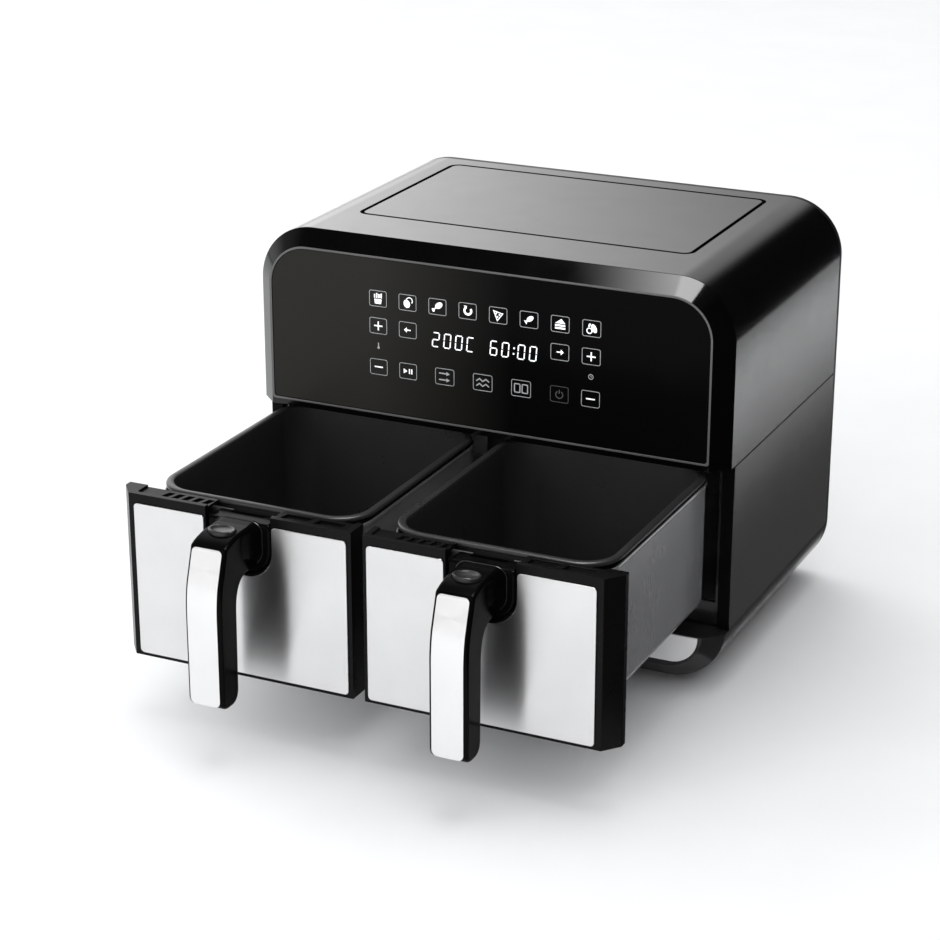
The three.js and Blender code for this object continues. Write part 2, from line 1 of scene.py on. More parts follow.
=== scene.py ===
"""A two-drawer air fryer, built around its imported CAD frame. Metres, +Z up, the control panel faces -Y."""
import math

import bmesh
import bpy
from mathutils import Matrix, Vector


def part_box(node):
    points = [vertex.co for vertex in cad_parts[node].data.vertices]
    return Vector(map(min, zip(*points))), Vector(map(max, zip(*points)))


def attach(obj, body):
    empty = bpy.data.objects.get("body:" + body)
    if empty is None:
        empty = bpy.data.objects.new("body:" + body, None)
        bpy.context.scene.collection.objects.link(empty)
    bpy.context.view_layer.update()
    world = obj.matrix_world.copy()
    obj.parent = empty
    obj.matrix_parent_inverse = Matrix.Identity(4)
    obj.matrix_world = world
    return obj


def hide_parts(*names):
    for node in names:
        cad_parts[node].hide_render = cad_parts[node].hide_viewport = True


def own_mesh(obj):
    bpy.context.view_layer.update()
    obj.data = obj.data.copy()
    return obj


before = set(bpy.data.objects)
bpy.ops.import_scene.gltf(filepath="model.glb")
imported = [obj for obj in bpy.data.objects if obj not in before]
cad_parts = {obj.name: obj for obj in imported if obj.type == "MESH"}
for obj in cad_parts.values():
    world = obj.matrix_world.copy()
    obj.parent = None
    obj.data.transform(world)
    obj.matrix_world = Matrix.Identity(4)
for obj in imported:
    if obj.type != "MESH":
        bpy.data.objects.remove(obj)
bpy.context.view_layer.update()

MM = 0.001
SIDES = (("left", -1), ("right", 1))


def low(node):
    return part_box(node)[0]


def high(node):
    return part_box(node)[1]


# ------------------------------------------------------------------ places taken from the frame
HALF = high("front_bezel").x
FRONT = low("front_bezel").y
BEZEL_BACK = high("front_bezel").y
SHELL_FRONT = low("upper_shell").y
SHELL_BACK = high("upper_shell").y
BACK = high("rear_cover").y
UNDER = low("base_tray").z
SILL = high("base_tray").z
SEAM = low("upper_shell").z
TOP = high("upper_shell").z
DRAWER_FRONT = low("drawer_frame_right").y
DRAWER_BACK = high("drawer_frame_right").y
CORNER = 46 * MM                # the housing's rounded corners
BEVEL_IN = 13.5 * MM            # how far the sloped front edge draws in
SHELL_WALL = 3 * MM
FINE = 0.2 * MM                 # the smallest corner radius used
WELD = 0.01 * MM                # points nearer than this become one
CURVE_STEPS = 20                # steps round a quarter turn of the large corners


def centre_x(side):
    """The middle of a drawer's pan."""
    word = "left" if side < 0 else "right"
    return (low(f"pan_{word}").x + high(f"pan_{word}").x) / 2


def middle_of(node):
    lo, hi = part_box(node)
    return (lo + hi) / 2


# ------------------------------------------------------------------ outlines
def rounded_rect(u0, u1, v0, v1, radii, steps=CURVE_STEPS):
    """Outline, counter-clockwise from the low left corner, which is also the order of the radii."""
    corners = [(u0, v0, 1, 1, 180), (u1, v0, -1, 1, 270), (u1, v1, -1, -1, 0), (u0, v1, 1, -1, 90)]
    points = []
    for (u, v, inward_u, inward_v, start), radius in zip(corners, radii):
        radius = max(radius, FINE)
        for step in range(steps + 1):
            angle = math.radians(start + 90 * step / steps)
            points.append((u + inward_u * radius + radius * math.cos(angle),
                           v + inward_v * radius + radius * math.sin(angle)))
    return points


def ellipse(u, v, radius_u, radius_v, steps=48):
    turn = 2 * math.pi / steps
    return [(u + radius_u * math.cos(turn * i), v + radius_v * math.sin(turn * i)) for i in range(steps)]


def arch(inset):
    """The housing's outline above the seam."""
    radius = CORNER - inset
    return rounded_rect(-HALF + inset, HALF - inset, SEAM, TOP - inset, (FINE, FINE, radius, radius))


def tray_outline(inset, top):
    """The housing's outline below a given height, from its left edge round the bottom to its right edge."""
    radius = CORNER - inset
    centre_z = UNDER + CORNER
    last = math.asin((top - centre_z) / radius)
    right = []
    for step in range(CURVE_STEPS + 1):
        angle = -math.pi / 2 + (last + math.pi / 2) * step / CURVE_STEPS
        right.append((HALF - CORNER + radius * math.cos(angle), centre_z + radius * math.sin(angle)))
    left = [(-u, v) for u, v in reversed(right)]
    return left + right


# ------------------------------------------------------------------ mesh building
def on_y(outline, y):
    """A flat outline as points in space, with the named coordinate the same all round."""
    return [(u, y, v) for u, v in outline]


def on_z(outline, z):
    return [(u, v, z) for u, v in outline]


def on_x(outline, x):
    return [(x, u, v) for u, v in outline]


def mesh_object(name, vertices, faces):
    """A linked object with its seams welded and its faces turned outwards."""
    mesh = bpy.data.meshes.new(name)
    mesh.from_pydata(vertices, [], faces)
    work = bmesh.new()
    work.from_mesh(mesh)
    bmesh.ops.remove_doubles(work, verts=work.verts, dist=WELD)
    bmesh.ops.recalc_face_normals(work, faces=work.faces)
    work.to_mesh(mesh)
    work.free()
    piece = bpy.data.objects.new(name, mesh)
    bpy.context.scene.collection.objects.link(piece)
    return piece


def loft(name, rings, closed=False):
    """A skin through rings that have the same number of points, capped at both ends unless closed."""
    count = len(rings[0])
    vertices = [point for ring in rings for point in ring]
    spans = len(rings) if closed else len(rings) - 1
    faces = []
    for span in range(spans):
        here = span * count
        there = ((span + 1) % len(rings)) * count
        for index in range(count):
            after = (index + 1) % count
            faces.append((here + index, here + after, there + after, there + index))
    if not closed:
        last = (len(rings) - 1) * count
        faces.append(tuple(range(count)))
        faces.append(tuple(range(last, last + count)))
    return mesh_object(name, vertices, faces)


def prism(name, outline, to_ring, start, stop):
    """One outline swept between two values along the axis of to_ring."""
    return loft(name, [to_ring(outline, start), to_ring(outline, stop)])


def box(name, x0, x1, y0, y1, z0, z1):
    """A block. Its x limits may be given in either order."""
    x0, x1 = min(x0, x1), max(x0, x1)
    return prism(name, [(x0, y0), (x1, y0), (x1, y1), (x0, y1)], on_z, z0, z1)


def apply_modifiers(piece):
    """Swaps a piece's mesh for what its modifiers make of it."""
    bpy.context.view_layer.update()
    graph = bpy.context.evaluated_depsgraph_get()
    done = bpy.data.meshes.new_from_object(piece.evaluated_get(graph))
    piece.modifiers.clear()
    piece.data = done
    return piece


def combine(piece, others, operation):
    """Joins other solids to a piece, or cuts them from it, and removes them."""
    for other in others:
        modifier = piece.modifiers.new("combine", "BOOLEAN")
        modifier.operation = operation
        modifier.solver = "EXACT"
        modifier.object = other
        apply_modifiers(piece)
        bpy.data.objects.remove(other)
    return piece


def cut(piece, others):
    return combine(piece, others, "DIFFERENCE")


def join(piece, others):
    return combine(piece, others, "UNION")


def merge(name, parts):
    """One object from several separate shells."""
    work = bmesh.new()
    for part in parts:
        work.from_mesh(part.data)
        bpy.data.objects.remove(part)
    mesh = bpy.data.meshes.new(name)
    work.to_mesh(mesh)
    work.free()
    piece = bpy.data.objects.new(name, mesh)
    bpy.context.scene.collection.objects.link(piece)
    return piece


def soften(piece, width, segments=3, angle=32):
    """Rounds a piece's edges."""
    modifier = piece.modifiers.new("soften", "BEVEL")
    modifier.width = width
    modifier.segments = segments
    modifier.limit_method = "ANGLE"
    modifier.angle_limit = math.radians(angle)
    modifier.use_clamp_overlap = True
    modifier.harden_normals = True
    return apply_modifiers(piece)


def place(piece, body, material, nodes=(), smooth=35):
    """Shades a piece, gives it its finish in one slot, parents it to what it rides on and hides the nodes it
    stands for.
    """
    mesh = piece.data
    mesh.materials.clear()
    mesh.materials.append(material)
    for face in mesh.polygons:
        face.use_smooth = True
        face.material_index = 0
    if "custom_normal" in mesh.attributes:
        mesh.attributes.remove(mesh.attributes["custom_normal"])
    mesh.set_sharp_from_angle(angle=math.radians(smooth))
    even = piece.modifiers.new("even_shading", "WEIGHTED_NORMAL")
    even.keep_sharp = True
    even.weight = 60
    apply_modifiers(piece)
    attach(piece, body)
    if nodes:
        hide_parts(*nodes)
    return piece


# ------------------------------------------------------------------ materials
NOISE_LOW = 0.3                 # nearly all of a noise lies between these two values
NOISE_HIGH = 0.7


def grey(value, blue=0.0):
    """A neutral colour, or one with a trace more blue."""
    return (value, value, value + blue)


def set_inputs(node, **values):
    """Sets a node's inputs by name, with underscores for the spaces."""
    for name, value in values.items():
        node.inputs[name.replace("_", " ")].default_value = value


def node_material(name):
    material = bpy.data.materials.new(name)
    material.use_nodes = True
    tree = material.node_tree
    return material, tree, tree.nodes["Principled BSDF"]


def object_axis(tree, axis):
    """A value that runs with one of the object's own coordinates."""
    place_node = tree.nodes.new("ShaderNodeTexCoord")
    split = tree.nodes.new("ShaderNodeSeparateXYZ")
    tree.links.new(place_node.outputs["Object"], split.inputs["Vector"])
    return split.outputs[axis]


def noise_node(tree, scale, detail=4.0, stretch=(1, 1, 1)):
    """Noise in the object's own coordinates. scale is in features per metre."""
    place_node = tree.nodes.new("ShaderNodeTexCoord")
    mapping = tree.nodes.new("ShaderNodeMapping")
    set_inputs(mapping, Scale=stretch)
    texture = tree.nodes.new("ShaderNodeTexNoise")
    set_inputs(texture, Scale=scale, Detail=detail)
    tree.links.new(place_node.outputs["Object"], mapping.inputs["Vector"])
    tree.links.new(mapping.outputs["Vector"], texture.inputs["Vector"])
    return texture


def ramp(tree, source, low_value, high_value, target):
    """Spreads a noise over a range of values."""
    spread = tree.nodes.new("ShaderNodeMapRange")
    set_inputs(spread, From_Min=NOISE_LOW, From_Max=NOISE_HIGH, To_Min=low_value, To_Max=high_value)
    tree.links.new(source, spread.inputs["Value"])
    tree.links.new(spread.outputs["Result"], target)


def colour_mix(tree, source, dark, light, target):
    """Fades from one colour to another along a value."""
    blend = tree.nodes.new("ShaderNodeValToRGB")
    stops = blend.color_ramp.elements
    stops[0].position = NOISE_LOW + 0.02
    stops[0].color = (*dark, 1)
    stops[1].position = NOISE_HIGH - 0.02
    stops[1].color = (*light, 1)
    tree.links.new(source, blend.inputs["Fac"])
    tree.links.new(blend.outputs["Color"], target)


def add_bump(tree, source, shader, strength, distance):
    """Roughens a surface by a value. distance is the height of the relief in metres."""
    bump = tree.nodes.new("ShaderNodeBump")
    set_inputs(bump, Strength=strength, Distance=distance)
    tree.links.new(source, bump.inputs["Height"])
    tree.links.new(bump.outputs["Normal"], shader.inputs["Normal"])


def plastic(name, dark, light, rough, grain_scale, bump, specular=0.5, coat=0.0):
    """Moulded plastic: slow colour drift, smudges in the gloss and a fine grain."""
    material, tree, shader = node_material(name)
    set_inputs(shader, Specular_IOR_Level=specular, Coat_Weight=coat, Coat_Roughness=0.14)
    drift = noise_node(tree, 9, 3)
    smudge = noise_node(tree, 38, 6)
    grain = noise_node(tree, grain_scale, 2)
    colour_mix(tree, drift.outputs["Fac"], dark, light, shader.inputs["Base Color"])
    ramp(tree, smudge.outputs["Fac"], rough[0], rough[1], shader.inputs["Roughness"])
    add_bump(tree, grain.outputs["Fac"], shader, bump, 0.00005)
    return material


def smoked_glass():
    """Glass: a black with a painted reflection that lightens it a little toward the left, under a slightly
    uneven polish.
    """
    material, tree, shader = node_material("glass_black")
    set_inputs(shader, Specular_IOR_Level=0.025)
    # Painted reflection: the black lightens from the glass's right end to its left end.
    across = tree.nodes.new("ShaderNodeMapRange")
    set_inputs(across, From_Min=0.13, From_Max=-0.2)
    tree.links.new(object_axis(tree, "X"), across.inputs["Value"])
    painted_reflection = (0.024, 0.0235, 0.0215)
    colour_mix(tree, across.outputs["Result"], grey(0.002), painted_reflection, shader.inputs["Base Color"])
    smudge = noise_node(tree, 30, 6)
    ramp(tree, smudge.outputs["Fac"], 0.15, 0.2, shader.inputs["Roughness"])
    add_bump(tree, smudge.outputs["Fac"], shader, 0.01, 0.00005)
    return material


def brushed(name, dark, light, rough, stretch, bump, smear=0.0, metal=1.0):
    """Polished or brushed metal: long fine lines one way, in the colour, the gloss and the surface."""
    material, tree, shader = node_material(name)
    set_inputs(shader, Metallic=metal)
    if smear:
        grain = tree.nodes.new("ShaderNodeTangent")
        grain.direction_type = "RADIAL"
        grain.axis = "Z"
        quarter_turn = 0.25
        set_inputs(shader, Anisotropic=smear, Anisotropic_Rotation=quarter_turn)
        tree.links.new(grain.outputs["Tangent"], shader.inputs["Tangent"])
    lines = noise_node(tree, 60, 5, stretch)
    cloud = noise_node(tree, 14, 4)
    colour_mix(tree, cloud.outputs["Fac"], dark, light, shader.inputs["Base Color"])
    ramp(tree, lines.outputs["Fac"], rough[0], rough[1], shader.inputs["Roughness"])
    add_bump(tree, lines.outputs["Fac"], shader, bump, 0.00002)
    return material


def coated(name, dark, light, rough, fleck_scale, bump):
    """Non-stick or enamel coating: a dark ground with fine flecks and a pebbled skin."""
    material, tree, shader = node_material(name)
    fleck = noise_node(tree, fleck_scale, 3)
    cloud = noise_node(tree, 22, 4)
    colour_mix(tree, fleck.outputs["Fac"], dark, light, shader.inputs["Base Color"])
    ramp(tree, cloud.outputs["Fac"], rough[0], rough[1], shader.inputs["Roughness"])
    add_bump(tree, fleck.outputs["Fac"], shader, bump, 0.00008)
    return material


def glow(name, colour, strength):
    """Lit segments: slightly uneven along the panel."""
    material, tree, shader = node_material(name)
    set_inputs(shader, Emission_Strength=strength)
    uneven = noise_node(tree, 160, 2)
    dimmer = tuple(value * 0.86 for value in colour)
    colour_mix(tree, uneven.outputs["Fac"], dimmer, colour, shader.inputs["Emission Color"])
    colour_mix(tree, uneven.outputs["Fac"], dimmer, colour, shader.inputs["Base Color"])
    ramp(tree, uneven.outputs["Fac"], 0.35, 0.5, shader.inputs["Roughness"])
    return material


# plastic: name, two colours, roughness from and to, grain in features per metre, strength of the grain,
# specular level
SHELL_BLACK = plastic("shell_black", grey(0.003), grey(0.004, 0.0002), (0.18, 0.24), 2400, 0.06, coat=1.0)
PANEL_BLACK = plastic("panel_black", grey(0.003), grey(0.0045, 0.0002), (0.2, 0.26), 2200, 0.07, coat=1.0)
TRAY_BLACK = plastic("tray_black", grey(0.01), grey(0.014, 0.0003), (0.18, 0.26), 2400, 0.06)
BEZEL_BLACK = plastic("bezel_black", grey(0.001), grey(0.002), (0.07, 0.12), 2600, 0.03, 0.36)
GRIP_BLACK = plastic("grip_black", grey(0.0015), grey(0.0025, 0.0001), (0.14, 0.22), 2600, 0.05, 0.04)
# Painted shade: a near-black matte for the lining that darkens the groove round the top panel.
GROOVE_SHADE_PAINT = plastic("groove_shade_paint", grey(0.0008), grey(0.0015), (0.6, 0.8), 2000, 0.2, 0.05)
SATIN_BLACK = plastic("satin_black", grey(0.008), grey(0.014, 0.0004), (0.3, 0.42), 1900, 0.18, 0.4)
FRAME_BLACK = plastic("frame_black", grey(0.002), grey(0.004, 0.0002), (0.24, 0.34), 1900, 0.14, 0.09)
TRIM_GREY = plastic("trim_grey", grey(0.07), grey(0.1), (0.25, 0.35), 2200, 0.08)
BUTTON_GREY = plastic("button_grey", grey(0.012, 0.0005), grey(0.02, 0.0005), (0.22, 0.34), 2400, 0.12)
# Painted reflection: the sill inlay is a near-white diffuse finish whose brightness stands in for polished
# steel mirroring the pale floor.
INLAY_PAINTED_REFLECTION = plastic("inlay_painted_reflection", grey(0.86), grey(0.92), (0.3, 0.36), 1800, 0.03)
RUBBER = plastic("rubber_black", grey(0.012), grey(0.02), (0.7, 0.85), 1300, 0.5, 0.25)
BOARD = plastic("board_green", (0.012, 0.075, 0.03), (0.02, 0.1, 0.045), (0.35, 0.6), 900, 0.25)
GLASS_BLACK = smoked_glass()

# brushed: name, colours, roughness from and to, how the lines are stretched, strength of the lines, smear
UPRIGHT_LINES = (14, 14, 0.35)
STEEL = brushed("polished_steel", grey(0.72), grey(0.78), (0.28, 0.3), UPRIGHT_LINES, 0.02, 1.0)
STRIP_STEEL = brushed("strip_steel", grey(0.76), grey(0.82), (0.2, 0.225), UPRIGHT_LINES, 0.02, 0.95)
SHEET_STEEL = brushed("liner_steel", grey(0.42, 0.01), grey(0.55, 0.01), (0.28, 0.45), (1, 12, 12), 0.2)
SCREW_STEEL = brushed("screw_steel", grey(0.38), grey(0.52), (0.25, 0.4), (8, 1, 8), 0.2)
HEATER_STEEL = brushed("heater_steel", (0.13, 0.12, 0.11), (0.3, 0.28, 0.26), (0.4, 0.6), (6, 6, 6), 0.3)
FAN_METAL = brushed("fan_aluminium", grey(0.55, 0.01), grey(0.7, 0.01), (0.25, 0.4), (5, 5, 5), 0.2)
PAN_GREY = brushed("grey_metal", (0.33, 0.335, 0.34), (0.4, 0.405, 0.41), (0.18, 0.24), (10, 10, 0.5),
                   0.008, metal=0.62)

MOTOR_GREY = coated("motor_grey", grey(0.22, 0.01), grey(0.3, 0.01), (0.35, 0.5), 1500, 0.3)
NONSTICK = coated("nonstick_black", grey(0.014, 0.0005), grey(0.03, 0.001), (0.26, 0.38), 2600, 0.25)

WHITE_GLOW = glow("display_white", (0.95, 0.97, 1.0), 0.62)
LINE_GLOW = glow("key_outline", (0.36, 0.37, 0.38), 0.24)
DIM_GLOW = glow("key_dim", grey(0.07), 0.08)


# ------------------------------------------------------------------ housing
PANEL_GROOVE = 3.6 * MM         # width of the groove round the top panel
PANEL_DEPTH = 2.4 * MM


def panel_outline(grow):
    """The top panel's outline, moved outwards by a distance."""
    lo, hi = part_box("top_panel")
    return rounded_rect(lo.x - grow, hi.x + grow, lo.y - grow, hi.y + grow, (6 * MM + grow,) * 4, 10)


def upper_shell():
    """The rounded sleeve above the seam, with a seat in its top for the panel and a lip behind its front."""
    outer = arch(0)
    inner = arch(SHELL_WALL)
    bottom = CURVE_STEPS + 1
    outer_open = outer[bottom:] + outer[:bottom]
    inner_open = inner[bottom:] + inner[:bottom]
    section = outer_open + [(u, min(v, SEAM) if v < SEAM + 2 * FINE else v) for u, v in reversed(inner_open)]
    shell = prism("housing_upper", section, on_y, SHELL_FRONT, SHELL_BACK)
    lip_back = FRONT + 29.7 * MM
    lip = box("lip", -HALF + MM, HALF - MM, SHELL_FRONT, lip_back, SEAM, SEAM + SHELL_WALL)
    join(shell, [lip])
    soften(shell, 0.5 * MM, 2)
    cut(shell, [prism("seat", panel_outline(PANEL_GROOVE), on_z, TOP - PANEL_DEPTH, TOP + MM)])
    place(shell, "housing", SHELL_BLACK, ["upper_shell"])


def top_panel():
    lo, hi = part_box("top_panel")
    panel = prism("top_panel_plate", panel_outline(0), on_z, lo.z, hi.z)
    soften(panel, 0.2 * MM, 2)
    place(panel, "housing", PANEL_BLACK, ["top_panel"])


def groove_shade_lining():
    """A near-black matte channel lining the groove round the top panel: painted shade that keeps the groove
    dark.
    """
    wall = 0.3 * MM
    slack = 0.1 * MM
    rim = high("top_panel").z - 0.35 * MM
    floor = TOP - PANEL_DEPTH + slack
    outside = PANEL_GROOVE - slack
    section = [(outside, floor), (outside, rim), (PANEL_GROOVE - wall, rim),
               (PANEL_GROOVE - wall, floor + wall), (wall, floor + wall), (wall, rim),
               (slack, rim), (slack, floor)]
    lining = loft("top_panel_groove", [on_z(panel_outline(grow), z) for grow, z in section], closed=True)
    place(lining, "housing", GROOVE_SHADE_PAINT)


GLASS_LOW, GLASS_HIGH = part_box("control_glass")


def glass_outline(grow):
    """The control glass's outline, moved outwards by a distance. Its low corners stay nearly square."""
    low_radius = 2.5 * MM
    high_radius = 31 * MM + grow
    return rounded_rect(GLASS_LOW.x - grow, GLASS_HIGH.x + grow, GLASS_LOW.z - grow, GLASS_HIGH.z + grow,
                        (low_radius, low_radius, high_radius, high_radius))


def front_bezel():
    """The sloped frame, with a pocket for the glass and a window behind it."""
    pocket = 0.3 * MM
    window = -8 * MM
    floor = FRONT + 3.5 * MM
    section = [(pocket, FRONT), (pocket, floor), (window, floor), (window, BEZEL_BACK)]
    rings = [on_y(arch(0), BEZEL_BACK), on_y(arch(BEVEL_IN), FRONT)]
    rings += [on_y(glass_outline(grow), y) for grow, y in section]
    bezel = loft("bezel_ring", rings, closed=True)
    soften(bezel, 0.7 * MM, 3, 25)
    place(bezel, "housing", BEZEL_BLACK, ["front_bezel"])


def glass_rim():
    """A narrow grey bead between the glass and the sloped frame."""
    inner = 0.35 * MM
    outer = 2.0 * MM
    section = [(inner, 0.4), (inner, -0.1), ((inner + outer) / 2, -0.35), (outer, -0.1), (outer, 0.4)]
    rings = [on_y(glass_outline(grow), FRONT + depth * MM) for grow, depth in section]
    place(loft("glass_rim_bead", rings, closed=True), "housing", TRIM_GREY)


def control_glass():
    rounding = 0.5 * MM
    section = [(0, GLASS_HIGH.y), (0, GLASS_LOW.y + rounding),
               (rounding * 0.3, GLASS_LOW.y + rounding * 0.3), (rounding, GLASS_LOW.y)]
    rings = [on_y(glass_outline(-inset), y) for inset, y in section]
    place(loft("control_glass_panel", rings), "housing", GLASS_BLACK, ["control_glass"])


LOWER_BOTTOM = SILL + 0.9 * MM
LOWER_TOP = SEAM - 1.1 * MM


def lower_shell():
    """Two side walls and the front frame of the two chambers, open above as the shell's lip closes them."""
    front = low("lower_shell").y
    post = HALF - 10 * MM
    parts = []
    for _, side in SIDES:
        plan = [(HALF, front), (HALF, SHELL_BACK), (HALF - SHELL_WALL, SHELL_BACK),
                (HALF - SHELL_WALL, front + 9 * MM), (post, front + 7.5 * MM), (post, front)]
        plan = [(side * u, v) for u, v in plan]
        parts.append(prism("wall", plan, on_z, LOWER_BOTTOM, LOWER_TOP))
    edge = HALF - MM
    outer = 186.5 * MM
    inner = 8 * MM
    sill = low("chamber_liner_left").z + 2.2 * MM
    right = [(edge, LOWER_BOTTOM), (edge, LOWER_TOP), (outer, LOWER_TOP), (outer, sill), (inner, sill),
             (inner, LOWER_TOP)]
    left = [(-u, v) for u, v in reversed(right)]
    fascia = prism("fascia", right + left, on_y, front + 4 * MM, front + 8 * MM)
    join(fascia, parts)
    fascia.name = "housing_lower"
    soften(fascia, 0.5 * MM, 2)
    place(fascia, "housing", SHELL_BLACK, ["lower_shell"])


def front_trims():
    """Plain black strips on the front edges of the lower walls."""
    front = low("lower_shell").y
    inset = 0.3 * MM
    for word, side in SIDES:
        trim = box(f"housing_front_trim_{word}", side * (HALF - 10.3 * MM), side * (HALF - 0.5 * MM),
                   front - 0.4 * MM, front + 7 * MM, LOWER_BOTTOM + inset, LOWER_TOP - inset)
        soften(trim, 0.4 * MM, 3)
        place(trim, "housing", GRIP_BLACK)


def base_tray():
    """The bottom tray, with a seat for the inlay in its sill and vents in its floor."""
    back = high("base_tray").y
    rings = [on_y(tray_outline(BEVEL_IN, SILL), FRONT), on_y(tray_outline(0, SILL), BEZEL_BACK),
             on_y(tray_outline(0, SILL), back)]
    tray = loft("base_tray_moulding", rings)
    seat = inlay_outline(0.3 * MM)
    tools = [prism("seat", seat, on_y, FRONT - MM, FRONT + 1.6 * MM)]
    vent_half = 60 * MM
    for row in range(6):
        y = FRONT + (90 + row * 18) * MM
        slot = rounded_rect(-vent_half, vent_half, y, y + 6 * MM, (2.9 * MM,) * 4, 6)
        tools.append(prism("vent", slot, on_z, UNDER - MM, UNDER + 3 * MM))
    cut(tray, tools)
    soften(tray, 0.7 * MM, 3, 25)
    place(tray, "housing", TRAY_BLACK, ["base_tray"])


def inlay_outline(grow):
    """The sill inlay's outline, moved outwards by a distance. It follows the housing's low corners."""
    lo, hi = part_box("sill_inlay")
    corner = 22 * MM
    return rounded_rect(lo.x - grow, hi.x + grow, lo.z - grow, hi.z + grow, (corner, corner, MM, MM), 12)


def sill_inlay():
    lo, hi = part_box("sill_inlay")
    inlay = prism("sill_inlay_strip", inlay_outline(0), on_y, lo.y, hi.y)
    soften(inlay, 0.3 * MM, 3)
    place(inlay, "housing", INLAY_PAINTED_REFLECTION, ["sill_inlay"])


def full_outline(inset):
    """The whole housing's outline, moved inwards by a distance."""
    return rounded_rect(-HALF + inset, HALF - inset, UNDER + inset, TOP - inset, (CORNER - inset,) * 4)


def rear_cover():
    """The back panel: a rounded edge, vents, a shallow recess, and wells for the gland and screws."""
    edge = 6 * MM
    edge_steps = 6
    front = low("rear_cover").y
    rings = [on_y(full_outline(0), front)]
    for step in range(edge_steps + 1):
        angle = math.radians(90 * step / edge_steps)
        rings.append(on_y(full_outline(edge * (1 - math.cos(angle))), BACK - edge + edge * math.sin(angle)))
    cover = loft("rear_cover_panel", rings)
    tools = rear_vents(front)
    gland = middle_of("cord_gland")
    gland_radius = 9.3 * MM
    hole = ellipse(gland.x, gland.z, gland_radius, gland_radius)
    tools.append(prism("hole", hole, on_y, front - MM, BACK + MM))
    well_radius = 3.9 * MM
    for index in range(4):
        spot = middle_of(f"rear_screw_{index + 1}")
        well = ellipse(spot.x, spot.z, well_radius, well_radius, 32)
        tools.append(prism("well", well, on_y, BACK - 3 * MM, BACK + MM))
    recess_half = 175 * MM
    recess = rounded_rect(-recess_half, recess_half, UNDER + 22 * MM, UNDER + 176 * MM, (14 * MM,) * 4, 8)
    tools.append(prism("recess", recess, on_y, BACK - 0.8 * MM, BACK + MM))
    cut(cover, tools)
    soften(cover, 0.4 * MM, 2)
    place(cover, "housing", SATIN_BLACK, ["rear_cover"])


def rear_vents(front):
    """Cutters for two columns of long slots, each with round ends."""
    bottom = 196
    pitch = 11
    height = 5 * MM
    slots = []
    for _, side in SIDES:
        for row in range(9):
            z = UNDER + (bottom + row * pitch) * MM
            ends = sorted((side * 40 * MM, side * 155 * MM))
            slot = rounded_rect(ends[0], ends[1], z, z + height, (2.4 * MM,) * 4, 6)
            slots.append(prism("slot", slot, on_y, front - MM, BACK + MM))
    return slots


def lathe_y(name, x, z, profile, steps=40):
    """A turned piece about an axis along Y. The profile is (radius, y) from one end to the other."""
    return loft(name, [on_y(ellipse(x, z, radius, radius, steps), y) for radius, y in profile])


def lathe_z(name, x, y, profile, steps=40):
    """A turned piece about an upright axis. The profile is (radius, z) from one end to the other."""
    return loft(name, [on_z(ellipse(x, y, radius, radius, steps), z) for radius, z in profile])


def cord_gland():
    """A flanged rubber sleeve with three ribs and an open bore, drawn as radius against distance back."""
    start = low("cord_gland").y
    centre = middle_of("cord_gland")
    bore = 4
    profile = [(bore, 0), (8, 0), (8, 16), (11.5, 16.2), (12, 17), (11.4, 18.6), (9.4, 19.2)]
    for ring in range(3):
        y = 19.6 + ring * 1.8
        radius = 8.6 - ring * 0.7
        profile += [(radius, y), (radius, y + 0.8), (radius - 0.9, y + 1.0), (radius - 0.9, y + 1.6)]
    profile += [(6.0, 25.0), (bore, 25.0)]
    rings = [on_y(ellipse(centre.x, centre.z, radius * MM, radius * MM, 40), start + y * MM)
             for radius, y in profile]
    gland = loft("cord_gland_sleeve", rings, closed=True)
    place(gland, "housing", RUBBER, ["cord_gland"])


def rear_screws():
    """Four domed screw heads, each with a cross recess."""
    profile = [(2.6, 0), (3.4, 0.3), (3.4, 1.2), (3.0, 1.8), (1.8, 2.15), (0.4, 2.2)]
    arm = 1.7 * MM
    half = 0.35 * MM
    depth = 0.9 * MM
    for index in range(4):
        name = f"rear_screw_{index + 1}"
        lo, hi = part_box(name)
        x = (lo.x + hi.x) / 2
        z = (lo.z + hi.z) / 2
        scaled = [(radius * MM, lo.y + y * MM) for radius, y in profile]
        head = lathe_y(f"screw_head_{index + 1}", x, z, scaled, 32)
        bars = [box("bar", x - wide, x + wide, hi.y - depth, hi.y + MM, z - tall, z + tall)
                for wide, tall in ((arm, half), (half, arm))]
        cut(head, bars)
        place(head, "housing", SCREW_STEEL, [name])


def feet():
    """Four rubber feet, each hollow underneath."""
    for end in ("front", "rear"):
        for word, _ in SIDES:
            name = f"foot_{end}_{word}"
            lo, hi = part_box(name)
            x = (lo.x + hi.x) / 2
            y = (lo.y + hi.y) / 2
            profile = [(11.8, hi.z), (12, hi.z - MM), (11.2, lo.z + 1.6 * MM), (9.8, lo.z + 0.3 * MM),
                       (8.8, lo.z), (6.4, lo.z), (5.8, lo.z + 1.2 * MM), (1.0, lo.z + 1.2 * MM)]
            foot = lathe_z(f"foot_pad_{end}_{word}", x, y, [(radius * MM, z) for radius, z in profile])
            place(foot, "housing", RUBBER, [name])


# ------------------------------------------------------------------ drawers
NOTCH_HALF = 27 * MM
NOTCH_BOTTOM = UNDER + 127 * MM
NOTCH_RADIUS = 20 * MM
GRIP_HALF = 15 * MM
GRIP_REACH = 54                 # millimetres from the drawer's front to the grip's
TONGUE_HALF = 15 * MM           # the tongue ties the handle to the basket through the pan's front
TONGUE_LOW = 133                # millimetres above the housing's underside


